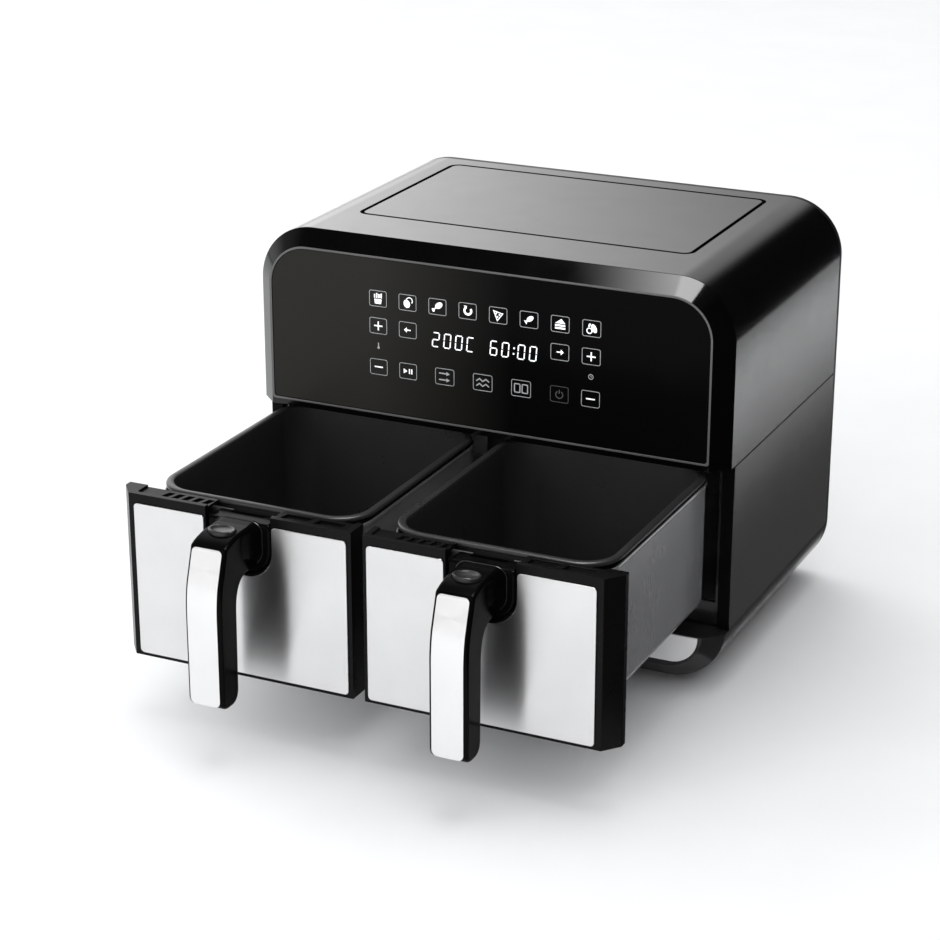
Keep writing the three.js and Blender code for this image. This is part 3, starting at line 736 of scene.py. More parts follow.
def notch_outline(side, inset, top, top_radius=FINE):
    """The U-shaped notch in a drawer's front, which the handle's bracket fills."""
    x = centre_x(side)
    half = NOTCH_HALF - inset
    radii = (NOTCH_RADIUS, NOTCH_RADIUS, top_radius, top_radius)
    return rounded_rect(x - half, x + half, NOTCH_BOTTOM + inset, top, radii, 12)


def leaning_slot(start, length, front, back):
    """A slot's outline, with both ends leaning the same way."""
    lean = 2.2 * MM
    return [(start, front), (start + length, front), (start + length + lean, back), (start + lean, back)]


def drawer_frame(word, side):
    """A drawer's black front: hollow behind, notched for the handle, with a stepped and slotted top shelf."""
    lo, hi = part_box(f"drawer_frame_{word}")
    inner = min(abs(lo.x), abs(hi.x))
    flat = 189.5 * MM
    wall = 4 * MM
    plan = [(inner, lo.y), (flat, lo.y), (HALF, lo.y + 13 * MM), (HALF, hi.y), (inner, hi.y)]
    plan = [(side * u, v) for u, v in plan]
    body = prism(f"drawer_front_{word}", plan, on_z, lo.z, hi.z)
    tools = [box("cavity", side * (inner + wall), side * (flat - 2 * MM), lo.y + 5 * MM, hi.y + MM,
                 lo.z + wall, hi.z - wall)]
    tools.append(prism("notch", notch_outline(side, 0, hi.z + 20 * MM), on_y, lo.y - MM, hi.y + MM))
    step_length = 175 * MM
    step = rounded_rect(0, step_length, lo.y + 4.5 * MM, hi.y + 5 * MM, (2 * MM,) * 4, 4)
    step = [(side * (u + inner + 5 * MM), v) for u, v in step]
    tools.append(prism("step", step, on_z, hi.z - 1.6 * MM, hi.z + MM))
    tools += shelf_slots(side, lo, hi)
    cut(body, tools)
    soften(body, 0.7 * MM, 2)
    place(body, f"drawer_{word}", FRAME_BLACK, [f"drawer_frame_{word}"])


def shelf_slots(side, lo, hi):
    """Cutters for five short slots left of the handle and two long ones right of it."""
    depth = 3.4 * MM
    x = centre_x(side)
    short_slots = [(-69 + index * 8.5, 5.2) for index in range(5)]
    long_slots = [(31, 21), (58, 21)]
    cutters = []
    for start, length in short_slots + long_slots:
        slot = leaning_slot(x + start * MM, length * MM, lo.y + 7.5 * MM, hi.y - 3.5 * MM)
        cutters.append(prism("slot", slot, on_z, hi.z - depth, hi.z + MM))
    return cutters


def steel_plate(word, side):
    """The bright plate on a drawer's front, cut round the notch with a black margin left showing."""
    lo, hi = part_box(f"steel_plate_{word}")
    corner = 3.2 * MM
    rim = 1.2 * MM
    bend = NOTCH_RADIUS + rim
    notch_left = centre_x(side) - NOTCH_HALF - rim
    notch_right = centre_x(side) + NOTCH_HALF + rim
    notch_low = NOTCH_BOTTOM - rim
    low_v, high_v = lo.z + corner, hi.z - corner
    bends = [(lo.x + corner, low_v, corner, 180, 270, 8), (hi.x - corner, low_v, corner, 270, 360, 8),
             (hi.x - corner, high_v, corner, 0, 90, 8), (notch_right + corner, high_v, corner, 90, 180, 8),
             (notch_right - bend, notch_low + bend, bend, 360, 270),
             (notch_left + bend, notch_low + bend, bend, 270, 180),
             (notch_left - corner, high_v, corner, 0, 90, 8), (lo.x + corner, high_v, corner, 90, 180, 8)]
    outline = [point for turn in bends for point in arc(*turn)]
    plate = prism(f"front_plate_{word}", outline, on_y, lo.y, hi.y)
    soften(plate, 0.35 * MM, 3)
    place(plate, f"drawer_{word}", STEEL, [f"steel_plate_{word}"])


def tub(name, lo, hi, corner, profile):
    """An open tub. The profile is (inset, z) from the outside of the floor, over the rim, to the inside."""
    rings = []
    for inset, z in profile:
        outline = rounded_rect(lo.x + inset, hi.x - inset, lo.y + inset, hi.y - inset,
                               (max(corner - inset, MM),) * 4, 14)
        rings.append(on_z(outline, z))
    return loft(name, rings)


def fillet(inset, bottom, radius, steps=6):
    """(inset, z) pairs from a floor up a rounded edge to a wall."""
    pairs = []
    for step in range(steps + 1):
        angle = math.radians(90 * step / steps)
        pairs.append((inset + radius * (1 - math.sin(angle)), bottom + radius * (1 - math.cos(angle))))
    return pairs


def pan(word, side):
    """A sheet-metal tub with a rolled rim and a slot in its front for the handle's tongue."""
    lo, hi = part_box(f"pan_{word}")
    flange = 1.0 * MM
    thick = 1.2 * MM
    rim = [(flange, 3.2), (0.2 * MM, 2.9), (0, 1.6), (0.3 * MM, 0.3), (1.0 * MM, 0), (1.8 * MM, 0.3),
           (flange + thick, 1.2)]
    profile = fillet(flange, lo.z, 10 * MM)
    profile += [(inset, hi.z - drop * MM) for inset, drop in rim]
    profile += list(reversed(fillet(flange + thick, lo.z + thick, 9 * MM)))
    body = tub(f"pan_shell_{word}", lo, hi, 25 * MM, profile)
    x = centre_x(side)
    slot_half = TONGUE_HALF + MM
    slot = box("slot", x - slot_half, x + slot_half, lo.y - MM, lo.y + 6 * MM,
               UNDER + (TONGUE_LOW - 1) * MM, hi.z + MM)
    cut(body, [slot])
    place(body, f"drawer_{word}", PAN_GREY, [f"pan_{word}"])


def basket(word, side):
    """The non-stick tub: a turned-out rim, walls that draw in a little, and five slots in the floor."""
    lo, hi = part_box(f"basket_{word}")
    flange = 5.5 * MM
    thick = 1.4 * MM
    wall = flange + thick
    rim = [(flange, 4.4), (1.2 * MM, 3.9), (0.1 * MM, 3.0), (0, 1.8), (0.5 * MM, 0.7), (1.6 * MM, 0),
           (4.2 * MM, 0), (5.8 * MM, 0.6), (wall, 2.4), (wall + 0.3 * MM, 14)]
    profile = fillet(flange, lo.z, 12 * MM)
    profile += [(inset, hi.z - drop * MM) for inset, drop in rim]
    profile += list(reversed(fillet(wall + 0.6 * MM, lo.z + thick, 11 * MM)))
    body = tub(f"basket_tub_{word}", lo, hi, 29.5 * MM, profile)
    tools = []
    slot_half = 45 * MM
    x = centre_x(side)
    for row in range(5):
        y = lo.y + (50 + row * 28) * MM
        slot = rounded_rect(x - slot_half, x + slot_half, y, y + 8 * MM, (3.9 * MM,) * 4, 6)
        tools.append(prism("slot", slot, on_z, lo.z - MM, lo.z + 4 * MM))
    cut(body, tools)
    place(body, f"basket_{word}", NONSTICK, [f"basket_{word}"])


def crisper_plate(word):
    """A perforated plate inside a plain border, on four legs, with a soft pad on each end of its sides."""
    lo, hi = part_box(f"crisper_plate_{word}")
    top = hi.z
    bottom = top - 1.6 * MM
    border = 12 * MM
    plate = crisper_grid(word, lo, hi, border)
    thickness = plate.modifiers.new("thickness", "SOLIDIFY")
    thickness.thickness = top - bottom
    thickness.offset = -1 if plate.data.polygons[0].normal.z > 0 else 1
    apply_modifiers(plate)
    inner = rounded_rect(lo.x + border, hi.x - border, lo.y + border, hi.y - border, (0.3 * MM,) * 4, 12)
    outer = rounded_rect(lo.x, hi.x, lo.y, hi.y, (20 * MM,) * 4, 12)
    slope = 1.2 * MM
    edge = rounded_rect(lo.x + slope, hi.x - slope, lo.y + slope, hi.y - slope, (19 * MM,) * 4, 12)
    section = [(inner, bottom), (inner, top), (edge, top), (outer, top - 0.9 * MM), (outer, bottom)]
    ring = loft("border", [on_z(outline, z) for outline, z in section], closed=True)
    leg_profile = [(3.4 * MM, lo.z), (4 * MM, lo.z + 0.6 * MM), (4 * MM, bottom + 0.2 * MM)]
    legs = []
    for across in (-1, 1):
        x = (lo.x + hi.x) / 2 + across * ((hi.x - lo.x) / 2 - border)
        for y in (lo.y + border, hi.y - border):
            legs.append(lathe_z("leg", x, y, leg_profile, 20))
    whole = merge(f"crisper_grid_{word}", [plate, ring, *legs])
    place(whole, f"crisper_{word}", NONSTICK, [f"crisper_plate_{word}"])
    for end in ("front", "rear"):
        for edge_word, _ in SIDES:
            crisper_bumper(f"crisper_bumper_{word}_{end}_{edge_word}", word)


def crisper_grid(word, lo, hi, border):
    """A flat sheet of square cells, each with a round hole in its middle."""
    columns = 11
    rows = 14
    hole = 3.6 * MM
    step_x = (hi.x - lo.x - 2 * border) / columns
    step_y = (hi.y - lo.y - 2 * border) / rows
    vertices = []
    faces = []
    for row in range(rows):
        for column in range(columns):
            x = lo.x + border + (column + 0.5) * step_x
            y = lo.y + border + (row + 0.5) * step_y
            grid_cell(vertices, faces, x, y, hi.z, step_x / 2, step_y / 2, hole)
    return mesh_object(f"crisper_grid_{word}", vertices, faces)


def grid_cell(vertices, faces, x, y, z, half_x, half_y, hole):
    """Adds one cell: a ring of faces from its square edge to its hole, and four corner triangles."""
    ring_steps = 16
    base = len(vertices)
    for index in range(ring_steps):
        angle = 2 * math.pi * (index + 0.5) / ring_steps
        across, along = math.cos(angle), math.sin(angle)
        reach = 1 / max(abs(across), abs(along))
        vertices.append((x + half_x * across * reach, y + half_y * along * reach, z))
        vertices.append((x + hole * across, y + hole * along, z))
    corner_base = len(vertices)
    for sign_x, sign_y in ((1, 1), (-1, 1), (-1, -1), (1, -1)):
        vertices.append((x + sign_x * half_x, y + sign_y * half_y, z))
    for index in range(ring_steps):
        after = (index + 1) % ring_steps
        faces.append((base + 2 * index, base + 2 * after, base + 2 * after + 1, base + 2 * index + 1))
    for quarter in range(4):
        index = (quarter * 4 + 1) % ring_steps
        after = (index + 1) % ring_steps
        faces.append((base + 2 * index, corner_base + quarter, base + 2 * after))


def crisper_bumper(node, word):
    lo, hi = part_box(node)
    outline = rounded_rect(lo.x, hi.x, lo.y, hi.y, (1.4 * MM,) * 4, 5)
    pad = prism(f"{node}_pad", outline, on_z, lo.z, hi.z)
    soften(pad, 0.9 * MM, 3)
    place(pad, f"crisper_{word}", RUBBER, [node])


def curve(start, mid, end, steps):
    """A quadratic curve's points."""
    points = []
    for step in range(steps + 1):
        t = step / steps
        points.append(tuple(a * (1 - t) ** 2 + 2 * b * t * (1 - t) + c * t * t
                            for a, b, c in zip(start, mid, end)))
    return points


def shrink(outline, distance):
    """A closed outline moved inwards along its corner normals. The outline runs counter-clockwise."""
    points = []
    count = len(outline)
    for index in range(count):
        before = Vector(outline[index - 1])
        here = Vector(outline[index])
        after = Vector(outline[(index + 1) % count])
        first = (here - before).normalized()
        second = (after - here).normalized()
        inward = Vector((-first.y - second.y, first.x + second.x)).normalized()
        reach = distance / max(inward.dot(Vector((-first.y, first.x))), 0.5)
        points.append(tuple(here + inward * reach))
    return points


def pillow(name, outline, to_ring, start, stop, radius, steps=5):
    """An outline swept between two values along the axis of to_ring, with the edges of both ends rounded."""
    rings = []
    for end, inward in ((start, 1), (stop, -1)):
        half = []
        for step in range(steps + 1):
            angle = math.radians(90 * step / steps)
            half.append(to_ring(shrink(outline, radius * (1 - math.sin(angle))),
                                end + inward * radius * (1 - math.cos(angle))))
        rings += half if inward > 0 else reversed(half)
    return loft(name, rings)


def grip_y(distance):
    """A y value a number of millimetres ahead of the drawer's front."""
    return DRAWER_FRONT - distance * MM


def grip_z(height):
    """A z value a number of millimetres above the housing's underside."""
    return UNDER + height * MM


def grip_point(ahead, up):
    """A point (y, z), from millimetres ahead of the drawer's front and above the housing's underside."""
    return grip_y(ahead), grip_z(up)


def grip_front(inset):
    """The front line of the grip as (y, z), from the neck's front edge down to where it runs straight."""
    brow = 41 - inset
    face = GRIP_REACH - inset
    points = curve(grip_point(brow, 163.4), grip_point(brow + 2.3, 162.8), grip_point(brow + 3, 159), 5)
    points += curve(grip_point(face - 3.4, 138.5), grip_point(face - 0.6, 130), grip_point(face, 114), 10)
    return points


def handle_body(word, side):
    """Bracket, neck and grip in one, with a seat and a well for the release button."""
    x = centre_x(side)
    grip = pillow(f"handle_grip_{word}", grip_outline(), on_x, x - GRIP_HALF, x + GRIP_HALF, 2.8 * MM)
    bracket_top = high(f"handle_{word}").z - 1.5 * MM
    bracket_outline = notch_outline(side, 0.6 * MM, bracket_top, 3.5 * MM)
    bracket = pillow("bracket", bracket_outline, on_y, grip_y(-1), DRAWER_BACK + 0.4 * MM, 3 * MM)
    slot = leaning_slot(x - 15 * MM, 28 * MM, DRAWER_BACK - 6.5 * MM, DRAWER_BACK - 3 * MM)
    tongue = box("tongue", x - TONGUE_HALF, x + TONGUE_HALF, DRAWER_BACK - MM,
                 low(f"basket_{word}").y + 5 * MM, grip_z(TONGUE_LOW), grip_z(160))
    join(grip, [neck_collar(x), bracket, tongue])
    lo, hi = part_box(f"release_button_{word}")
    centre = (lo + hi) / 2
    gap = 0.5 * MM
    well_radius = 5 * MM
    seat = ellipse(centre.x, centre.y, (hi.x - lo.x) / 2 + gap, (hi.y - lo.y) / 2 + gap)
    well = ellipse(centre.x, centre.y, well_radius, well_radius, 24)
    cut(grip, [prism("slot", slot, on_z, bracket_top - 5 * MM, bracket_top + 9 * MM),
               prism("seat", seat, on_z, hi.z - 11 * MM, hi.z + 5 * MM),
               prism("well", well, on_z, grip_z(148), hi.z)])
    place(grip, f"basket_{word}", GRIP_BLACK, [f"handle_{word}"], 40)
    neck_highlight_bead(word, x)


def grip_outline():
    """The side outline of neck and grip: over the top, down the front, round the end and up the back."""
    inset = 1.1
    root = -6
    rear = 30
    low_end = 39.5
    face = GRIP_REACH - inset
    outline = [grip_point(root, 164.5), grip_point(8, 168)]
    outline += curve(grip_point(20, 167.8), grip_point(34, 166.4), grip_point(41 - inset, 163.4), 8)
    outline += grip_front(inset)[1:]
    outline += curve(grip_point(face, 48), grip_point(face - 0.4, 40), grip_point(45, low_end), 8)
    outline += curve(grip_point(40, low_end), grip_point(rear + 1, low_end + 0.4), grip_point(rear, 50), 8)
    outline += curve(grip_point(rear - 1, 112), grip_point(rear - 2, 131), grip_point(16, 134), 10)
    outline += [grip_point(root, 135)]
    return outline


def neck_collar(x):
    """The rounded root of the neck, widest where it meets the bracket and drawn in to the grip's width."""
    rings = []
    steps = 12
    length = 24
    keel = 14.6 * MM
    for step in range(steps + 1):
        t = step / steps
        flare = (1 - t) ** 1.6
        half = GRIP_HALF + (0.1 + 4.4 * flare) * MM
        crown = (3.5 + 5 * flare) * MM
        outline = rounded_rect(x - half, x + half, grip_z(134.5 - 1.5 * flare), grip_z(168.4 - 1.4 * t),
                               (keel, keel, crown, crown), 10)
        rings.append(on_y(outline, grip_y(length * t - 3)))
    return loft("collar", rings)


def neck_highlight_bead(word, x):
    """A fine raised line round the root of the neck, in a grey lighter than the grip: partly a painted
    highlight along the collar's edge.
    """
    radius = 0.35 * MM
    rings = []
    for angle in range(0, 360, 60):
        grow = radius * math.cos(math.radians(angle))
        half = GRIP_HALF + 4.6 * MM + grow
        keel = 14.8 * MM + grow
        crown = 8.6 * MM + grow
        outline = rounded_rect(x - half, x + half, grip_z(132.8) - grow, grip_z(168.3) + grow,
                               (keel, keel, crown, crown), 10)
        rings.append(on_y(outline, grip_y(-0.9) + radius * math.sin(math.radians(angle))))
    bead = loft(f"neck_highlight_bead_{word}", rings, closed=True)
    # The bead's lighter grey is partly a painted highlight.
    place(bead, f"basket_{word}", BUTTON_GREY)


def handle_strip(word, side):
    """A polished band that follows the grip's front, with rounded ends."""
    x = centre_x(side)
    lo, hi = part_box(f"handle_strip_{word}")
    half = (hi.x - lo.x) / 2
    path = grip_front(0.2)[3:]
    front, last = path[-1]
    straight_steps = 12
    for step in range(1, straight_steps + 1):
        path.append((front, last + (lo.z - last) * step / straight_steps))
    lengths = [0.0]
    for (y0, z0), (y1, z1) in zip(path, path[1:]):
        lengths.append(lengths[-1] + math.hypot(y1 - y0, z1 - z0))
    top_radius = 3.5 * MM
    low_radius = 4.5 * MM
    stations = {0.0, *lengths}
    for angle in range(10, 91, 10):
        share = 1 - math.cos(math.radians(angle))
        stations.add(top_radius * share)
        stations.add(lengths[-1] - low_radius * share)
    stations = sorted(stations)
    vertices = []
    faces = []
    for distance in stations:
        y, z = point_at(path, lengths, distance)
        reach = half - end_shrink(distance, top_radius) - end_shrink(lengths[-1] - distance, low_radius)
        vertices += [(x - reach, y, z), (x, y, z), (x + reach, y, z)]
    for row in range(len(stations) - 1):
        for column in range(2):
            first = row * 3 + column
            faces.append((first, first + 1, first + 4, first + 3))
    band = mesh_object(f"handle_band_{word}", vertices, faces)
    thickness = band.modifiers.new("thickness", "SOLIDIFY")
    thickness.thickness = 1.2 * MM
    thickness.offset = -1 if band.data.polygons[-1].normal.y < 0 else 1
    apply_modifiers(band)
    soften(band, 0.35 * MM, 2, 50)
    place(band, f"basket_{word}", STRIP_STEEL, [f"handle_strip_{word}"], 50)


def end_shrink(distance, radius):
    """How much a rounded end narrows a band at a distance from its tip."""
    if distance >= radius:
        return 0.0
    return radius - math.sqrt(max(radius ** 2 - (radius - distance) ** 2, 0.0))


def point_at(path, lengths, distance):
    """The point a distance along a path whose corners lie at the given lengths."""
    tiny = 1e-9
    for index in range(len(path) - 1):
        if distance <= lengths[index + 1] + tiny:
            share = (distance - lengths[index]) / max(lengths[index + 1] - lengths[index], tiny)
            return tuple(a + (b - a) * share for a, b in zip(path[index], path[index + 1]))
    return path[-1]


def release_button(word):
    """An oval cap with a dished top, on a thin stem."""
    lo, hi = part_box(f"release_button_{word}")
    x = (lo.x + hi.x) / 2
    y = (lo.y + hi.y) / 2
    across = (hi.x - lo.x) / 2
    along = (hi.y - lo.y) / 2
    stem = 1.8 * MM
    cap_low = hi.z - 5.5 * MM
    cap = [(1.0, 5.5), (1.0, 0.9), (0.965, 0.3), (0.9, 0), (0.8, 0.1), (0.7, 0.8), (0.45, 1.2), (0.15, 1.3)]
    rings = [on_z(ellipse(x, y, stem, stem), lo.z), on_z(ellipse(x, y, stem, stem), cap_low)]
    rings += [on_z(ellipse(x, y, across * share, along * share), hi.z - drop * MM) for share, drop in cap]
    button = loft(f"button_cap_{word}", rings)
    place(button, f"button_{word}", BUTTON_GREY, [f"release_button_{word}"])


def button_spring(word):
    """The coil that lifts the button, built at its full length. The real coil shortens as the button goes
    down.
    """
    lo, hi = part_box(f"button_spring_{word}")
    centre = (lo + hi) / 2
    wire_radius = 0.45 * MM
    coil_radius = (hi.x - lo.x) / 2 - wire_radius
    turns = 5
    steps = turns * 16
    rings = []
    for step in range(steps + 1):
        angle = 2 * math.pi * turns * step / steps
        height = lo.z + wire_radius + (hi.z - lo.z - 2 * wire_radius) * step / steps
        ring = []
        for around, rise in ellipse(coil_radius, height, wire_radius, wire_radius, 8):
            ring.append((centre.x + around * math.cos(angle), centre.y + around * math.sin(angle), rise))
        rings.append(ring)
    coil = loft(f"button_coil_{word}", rings)
    place(coil, f"basket_{word}", SCREW_STEEL, [f"button_spring_{word}"])
    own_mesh(coil)


# ------------------------------------------------------------------ control panel graphics
KEY_PITCH = 25.7 * MM
ROW_PROGRAMS = UNDER + 277.6 * MM
ROW_UPPER = UNDER + 255.4 * MM
ROW_DIGITS = UNDER + 251 * MM
ROW_MARKS = UNDER + 239 * MM
ROW_LOWER = UNDER + 221.7 * MM
INK = GLASS_LOW.y - 0.12 * MM


class Sketch:
    """Flat shapes on the glass, in millimetres about a moving centre."""

    def __init__(self, name, material):
        self.name = name
        self.material = material
        self.centre = (0.0, 0.0)
        self.vertices = []
        self.faces = []

    def at(self, x, z):
        self.centre = (x, z)

    def fill(self, points):
        start = len(self.vertices)
        for u, v in points:
            self.vertices.append((self.centre[0] + u * MM, INK, self.centre[1] + v * MM))
        self.faces.append(tuple(range(start, len(self.vertices))))

    def line(self, points, width, closed=False):
        """A mitred stroke of even width."""
        count = len(points)
        left, right = [], []
        for index in range(count):
            before = points[index - 1] if closed or index else None
            after = points[(index + 1) % count] if closed or index < count - 1 else None
            here = Vector(points[index])
            first = (here - Vector(before)).normalized() if before else (Vector(after) - here).normalized()
            second = (Vector(after) - here).normalized() if after else first
            across = Vector((-(first + second).y, (first + second).x))
            across.normalize()
            reach = width / 2 / max(across.dot(Vector((-first.y, first.x))), 0.4)
            left.append(here + across * reach)
            right.append(here - across * reach)
        spans = count if closed else count - 1
        for index in range(spans):
            after = (index + 1) % count
            self.fill([left[index], left[after], right[after], right[index]])

    def build(self):
        piece = mesh_object(self.name, self.vertices, self.faces)
        thickness = piece.modifiers.new("thickness", "SOLIDIFY")
        thickness.thickness = 0.1 * MM
        thickness.offset = 0
        apply_modifiers(piece)
        place(piece, "housing", self.material)


def key_outline(sketch, half_wide=7.4, half_high=6.3):
    """A touch key's rounded frame."""
    corner = 1.4
    stroke = 0.42
    frame_line = rounded_rect(-half_wide, half_wide, -half_high, half_high, (corner,) * 4, 3)
    sketch.line(frame_line, stroke, closed=True)


def disc(u, v, radius_u, radius_v=None, turn=0.0, steps=20):
    """A filled oval's outline, turned by an angle in degrees."""
    cosine = math.cos(math.radians(turn))
    sine = math.sin(math.radians(turn))
    points = ellipse(0, 0, radius_u, radius_v or radius_u, steps)
    return [(u + a * cosine - b * sine, v + a * sine + b * cosine) for a, b in points]


def arc(u, v, radius, start, stop, steps=14):
    """Points along an arc between two angles in degrees."""
    return [(u + radius * math.cos(math.radians(start + (stop - start) * i / steps)),
             v + radius * math.sin(math.radians(start + (stop - start) * i / steps)))
            for i in range(steps + 1)]


def draw_chips(sketch):
    sketch.fill([(-2.6, -4.2), (2.6, -4.2), (3.2, -0.4), (-3.2, -0.4)])
    for index, height in enumerate((3.4, 4.4, 3.8, 4.3)):
        u = -2.85 + index * 1.9
        sketch.fill([(u - 0.55, 0.5), (u + 0.55, 0.5), (u + 0.55, height), (u - 0.55, height)])


def draw_egg(sketch):
    sketch.fill(disc(-0.6, -1.0, 2.7, 3.3, 20))
    sketch.line(arc(1.6, 1.6, 2.6, -40, 170), 0.7)


def draw_drumstick(sketch):
    sketch.fill(disc(1.2, 1.2, 3.4, 2.3, 35))
    sketch.line([(-1.0, -0.6), (-3.4, -2.6)], 1.0)
    sketch.fill(disc(-3.9, -2.4, 0.9))
    sketch.fill(disc(-3.2, -3.4, 0.9))


def draw_shrimp(sketch):
    sketch.line(arc(0.2, 0.3, 2.9, 120, 395, 18), 1.7)
    sketch.fill([(-1.0, 2.2), (-3.4, 4.2), (-0.6, 4.0)])


def draw_pizza(sketch):
    sketch.line([(-3.8, 3.4), (3.8, 1.6), (-0.6, -4.2)], 0.7, closed=True)
    for u, v in ((-1.6, 1.4), (1.2, 0.6), (-0.5, -1.2)):
        sketch.fill(disc(u, v, 0.75))


def draw_fish(sketch):
    sketch.fill(disc(0.9, 0.8, 3.2, 1.9, 35))
    sketch.fill([(-1.2, -1.0), (-4.2, -1.0), (-2.0, -3.9)])


def draw_cake(sketch):
    for v in (-3.9, -1.7):
        sketch.fill([(-4.2, v), (4.2, v), (4.2, v + 1.4), (-4.2, v + 1.4)])
    sketch.fill([(-4.2, 0.5), (4.2, 0.5), (1.0, 4.2)])


def draw_greens(sketch):
    sketch.line(disc(-1.8, -1.9, 2.1), 0.8, closed=True)
    sketch.fill(disc(1.9, 0.2, 2.0, 3.6, 25))
    sketch.fill(disc(-1.8, 2.4, 0.8, 1.6, -20))


def draw_segments(sketch, text, left):
    """Seven-segment digits, leaning a little."""
    height = 11.2
    pitch = 9.8
    width = height * 0.48
    lean = 0.08
    trim = 0.08
    stroke = 0.95
    half = height / 2
    strokes = {"0": "abcdef", "2": "abged", "6": "acdefg", "C": "adef"}
    ends = {"a": ((0, height), (width, height)), "b": ((width, height), (width, half)),
            "c": ((width, half), (width, 0)), "d": ((0, 0), (width, 0)), "e": ((0, half), (0, 0)),
            "f": ((0, height), (0, half)), "g": ((0, half), (width, half))}
    u = left
    for letter in text:
        if letter == ":":
            for v in (height * 0.3, height * 0.7):
                sketch.fill(disc(u + lean * v, v - half, 0.8, steps=8))
            u += pitch * 0.36
            continue
        for name in strokes[letter]:
            (u0, v0), (u1, v1) = ends[name]
            start = (u0 + (u1 - u0) * trim, v0 + (v1 - v0) * trim)
            stop = (u1 - (u1 - u0) * trim, v1 - (v1 - v0) * trim)
            sketch.line([(u + a + lean * b, b - half) for a, b in (start, stop)], stroke)
        u += pitch


def panel_graphics():
    """The lit marks on the glass, in three sketches by brightness."""
    bright = Sketch("panel_symbols", WHITE_GLOW)
    outline = Sketch("panel_key_outlines", LINE_GLOW)
    dim = Sketch("panel_power_key", DIM_GLOW)
    outer = 3.5 * KEY_PITCH
    inner = 2.5 * KEY_PITCH
    program_keys(bright, outline)
    step_keys(bright, outline, outer)
    side_marks(outline, outer)
    chooser_keys(bright, outline, inner)
    function_keys(outline)
    digits_middle = 25.6 * MM
    bright.at(-digits_middle, ROW_DIGITS)
    draw_segments(bright, "200C", -17.5)
    bright.at(digits_middle, ROW_DIGITS)
    draw_segments(bright, "60:00", -19.5)
    start_key(bright, outline, -inner)
    power_key(dim, inner)
    for sketch in (bright, outline, dim):
        sketch.build()


def program_keys(bright, outline):
    """The top row: eight keys, each with a picture of a food."""
    programs = [draw_chips, draw_egg, draw_drumstick, draw_shrimp,
                draw_pizza, draw_fish, draw_cake, draw_greens]
    for index, draw in enumerate(programs):
        x = (index - 3.5) * KEY_PITCH
        for sketch in (bright, outline):
            sketch.at(x, ROW_PROGRAMS)
        draw(bright)
        key_outline(outline)


def step_keys(bright, outline, outer):
    """A plus above a minus at each end of the panel."""
    reach = 3.6
    half = 0.5
    for x in (-outer, outer):
        for z in (ROW_UPPER, ROW_LOWER):
            bright.at(x, z)
            outline.at(x, z)
            key_outline(outline)
            bright.line([(-reach, 0), (reach, 0)], 2 * half)
        bright.at(x, ROW_UPPER)
        for up in (1, -1):
            bright.fill([(-half, up * half), (half, up * half), (half, up * reach), (-half, up * reach)])


def start_key(bright, outline, x):
    """A triangle and two bars."""
    bright.at(x, ROW_LOWER)
    outline.at(x, ROW_LOWER)
    key_outline(outline)
    tall = 2.0
    bright.fill([(-3.8, -tall), (-0.6, 0.0), (-3.8, tall)])
    for u in (1.2, 3.2):
        bright.fill([(u - 0.5, -tall), (u + 0.5, -tall), (u + 0.5, tall), (u - 0.5, tall)])


def power_key(dim, x):
    """An open ring with a bar in its gap."""
    dim.at(x, ROW_LOWER)
    key_outline(dim)
    dim.line(arc(0, -0.3, 2.9, 125, 415, 18), 0.8)
    dim.line([(0, 0.6), (0, 3.6)], 0.8)


def side_marks(sketch, outer):
    """A small thermometer and a small clock between the plus and minus keys."""
    sketch.at(-outer, ROW_MARKS)
    sketch.line([(0, -0.4), (0, 2.6)], 0.8)
    sketch.fill(disc(0, -1.4, 1.1, steps=12))
    sketch.at(outer, ROW_MARKS)
    sketch.line(disc(0, 0.4, 1.9, steps=16), 0.5, closed=True)
    sketch.line([(0, 1.4), (0, 0.4), (0.8, 0.4)], 0.4)


def chooser_keys(bright, outline, inner):
    """Left and right drawer keys, each with an arrow to its side."""
    for side in (-1, 1):
        bright.at(side * inner, ROW_UPPER)
        outline.at(side * inner, ROW_UPPER)
        key_outline(outline)
        bright.line([(side * -2.6, 0), (side * 1.0, 0)], 0.9)
        bright.fill([(side * 0.8, 2.2), (side * 3.2, 0), (side * 0.8, -2.2)])


def function_keys(outline):
    """Three wide keys: finish together, shake and match both drawers."""
    places = (-32.5, 0, 32.4)
    for u in places:
        outline.at(u * MM, ROW_LOWER)
        key_outline(outline, 8.0, 6.5)
    outline.at(places[0] * MM, ROW_LOWER)
    for v in (-2.6, 2.6):
        outline.line([(-5, v), (1.5, v)], 1.0)
        outline.fill([(1.5, v + 1.6), (4.4, v), (1.5, v - 1.6)])
    outline.at(places[1] * MM, ROW_LOWER)
    for v in (-2.0, 2.0):
        outline.line([(-5.4, v - 1), (-2.7, v + 1), (0, v - 1), (2.7, v + 1), (5.4, v - 1)], 0.9)
    outline.at(places[2] * MM, ROW_LOWER)
    for u in (-3.2, 3.2):
        outline.line(rounded_rect(u - 2.3, u + 2.3, -3.4, 3.4, (0.6,) * 4, 2), 0.8, closed=True)


# ------------------------------------------------------------------ carried-over internal nodes
def dress_internals():
    """Finishes for the pieces inside the housing, which keep their CAD shapes."""
    looks = {"display_board": BOARD, "power_board": BOARD}
    for word, _ in SIDES:
        looks[f"chamber_liner_{word}"] = SHEET_STEEL
        looks[f"heating_element_{word}"] = HEATER_STEEL
        looks[f"fan_motor_{word}"] = MOTOR_GREY
        looks[f"fan_{word}"] = FAN_METAL
    for node, material in looks.items():
        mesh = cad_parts[node].data
        mesh.materials.clear()
        mesh.materials.append(material)


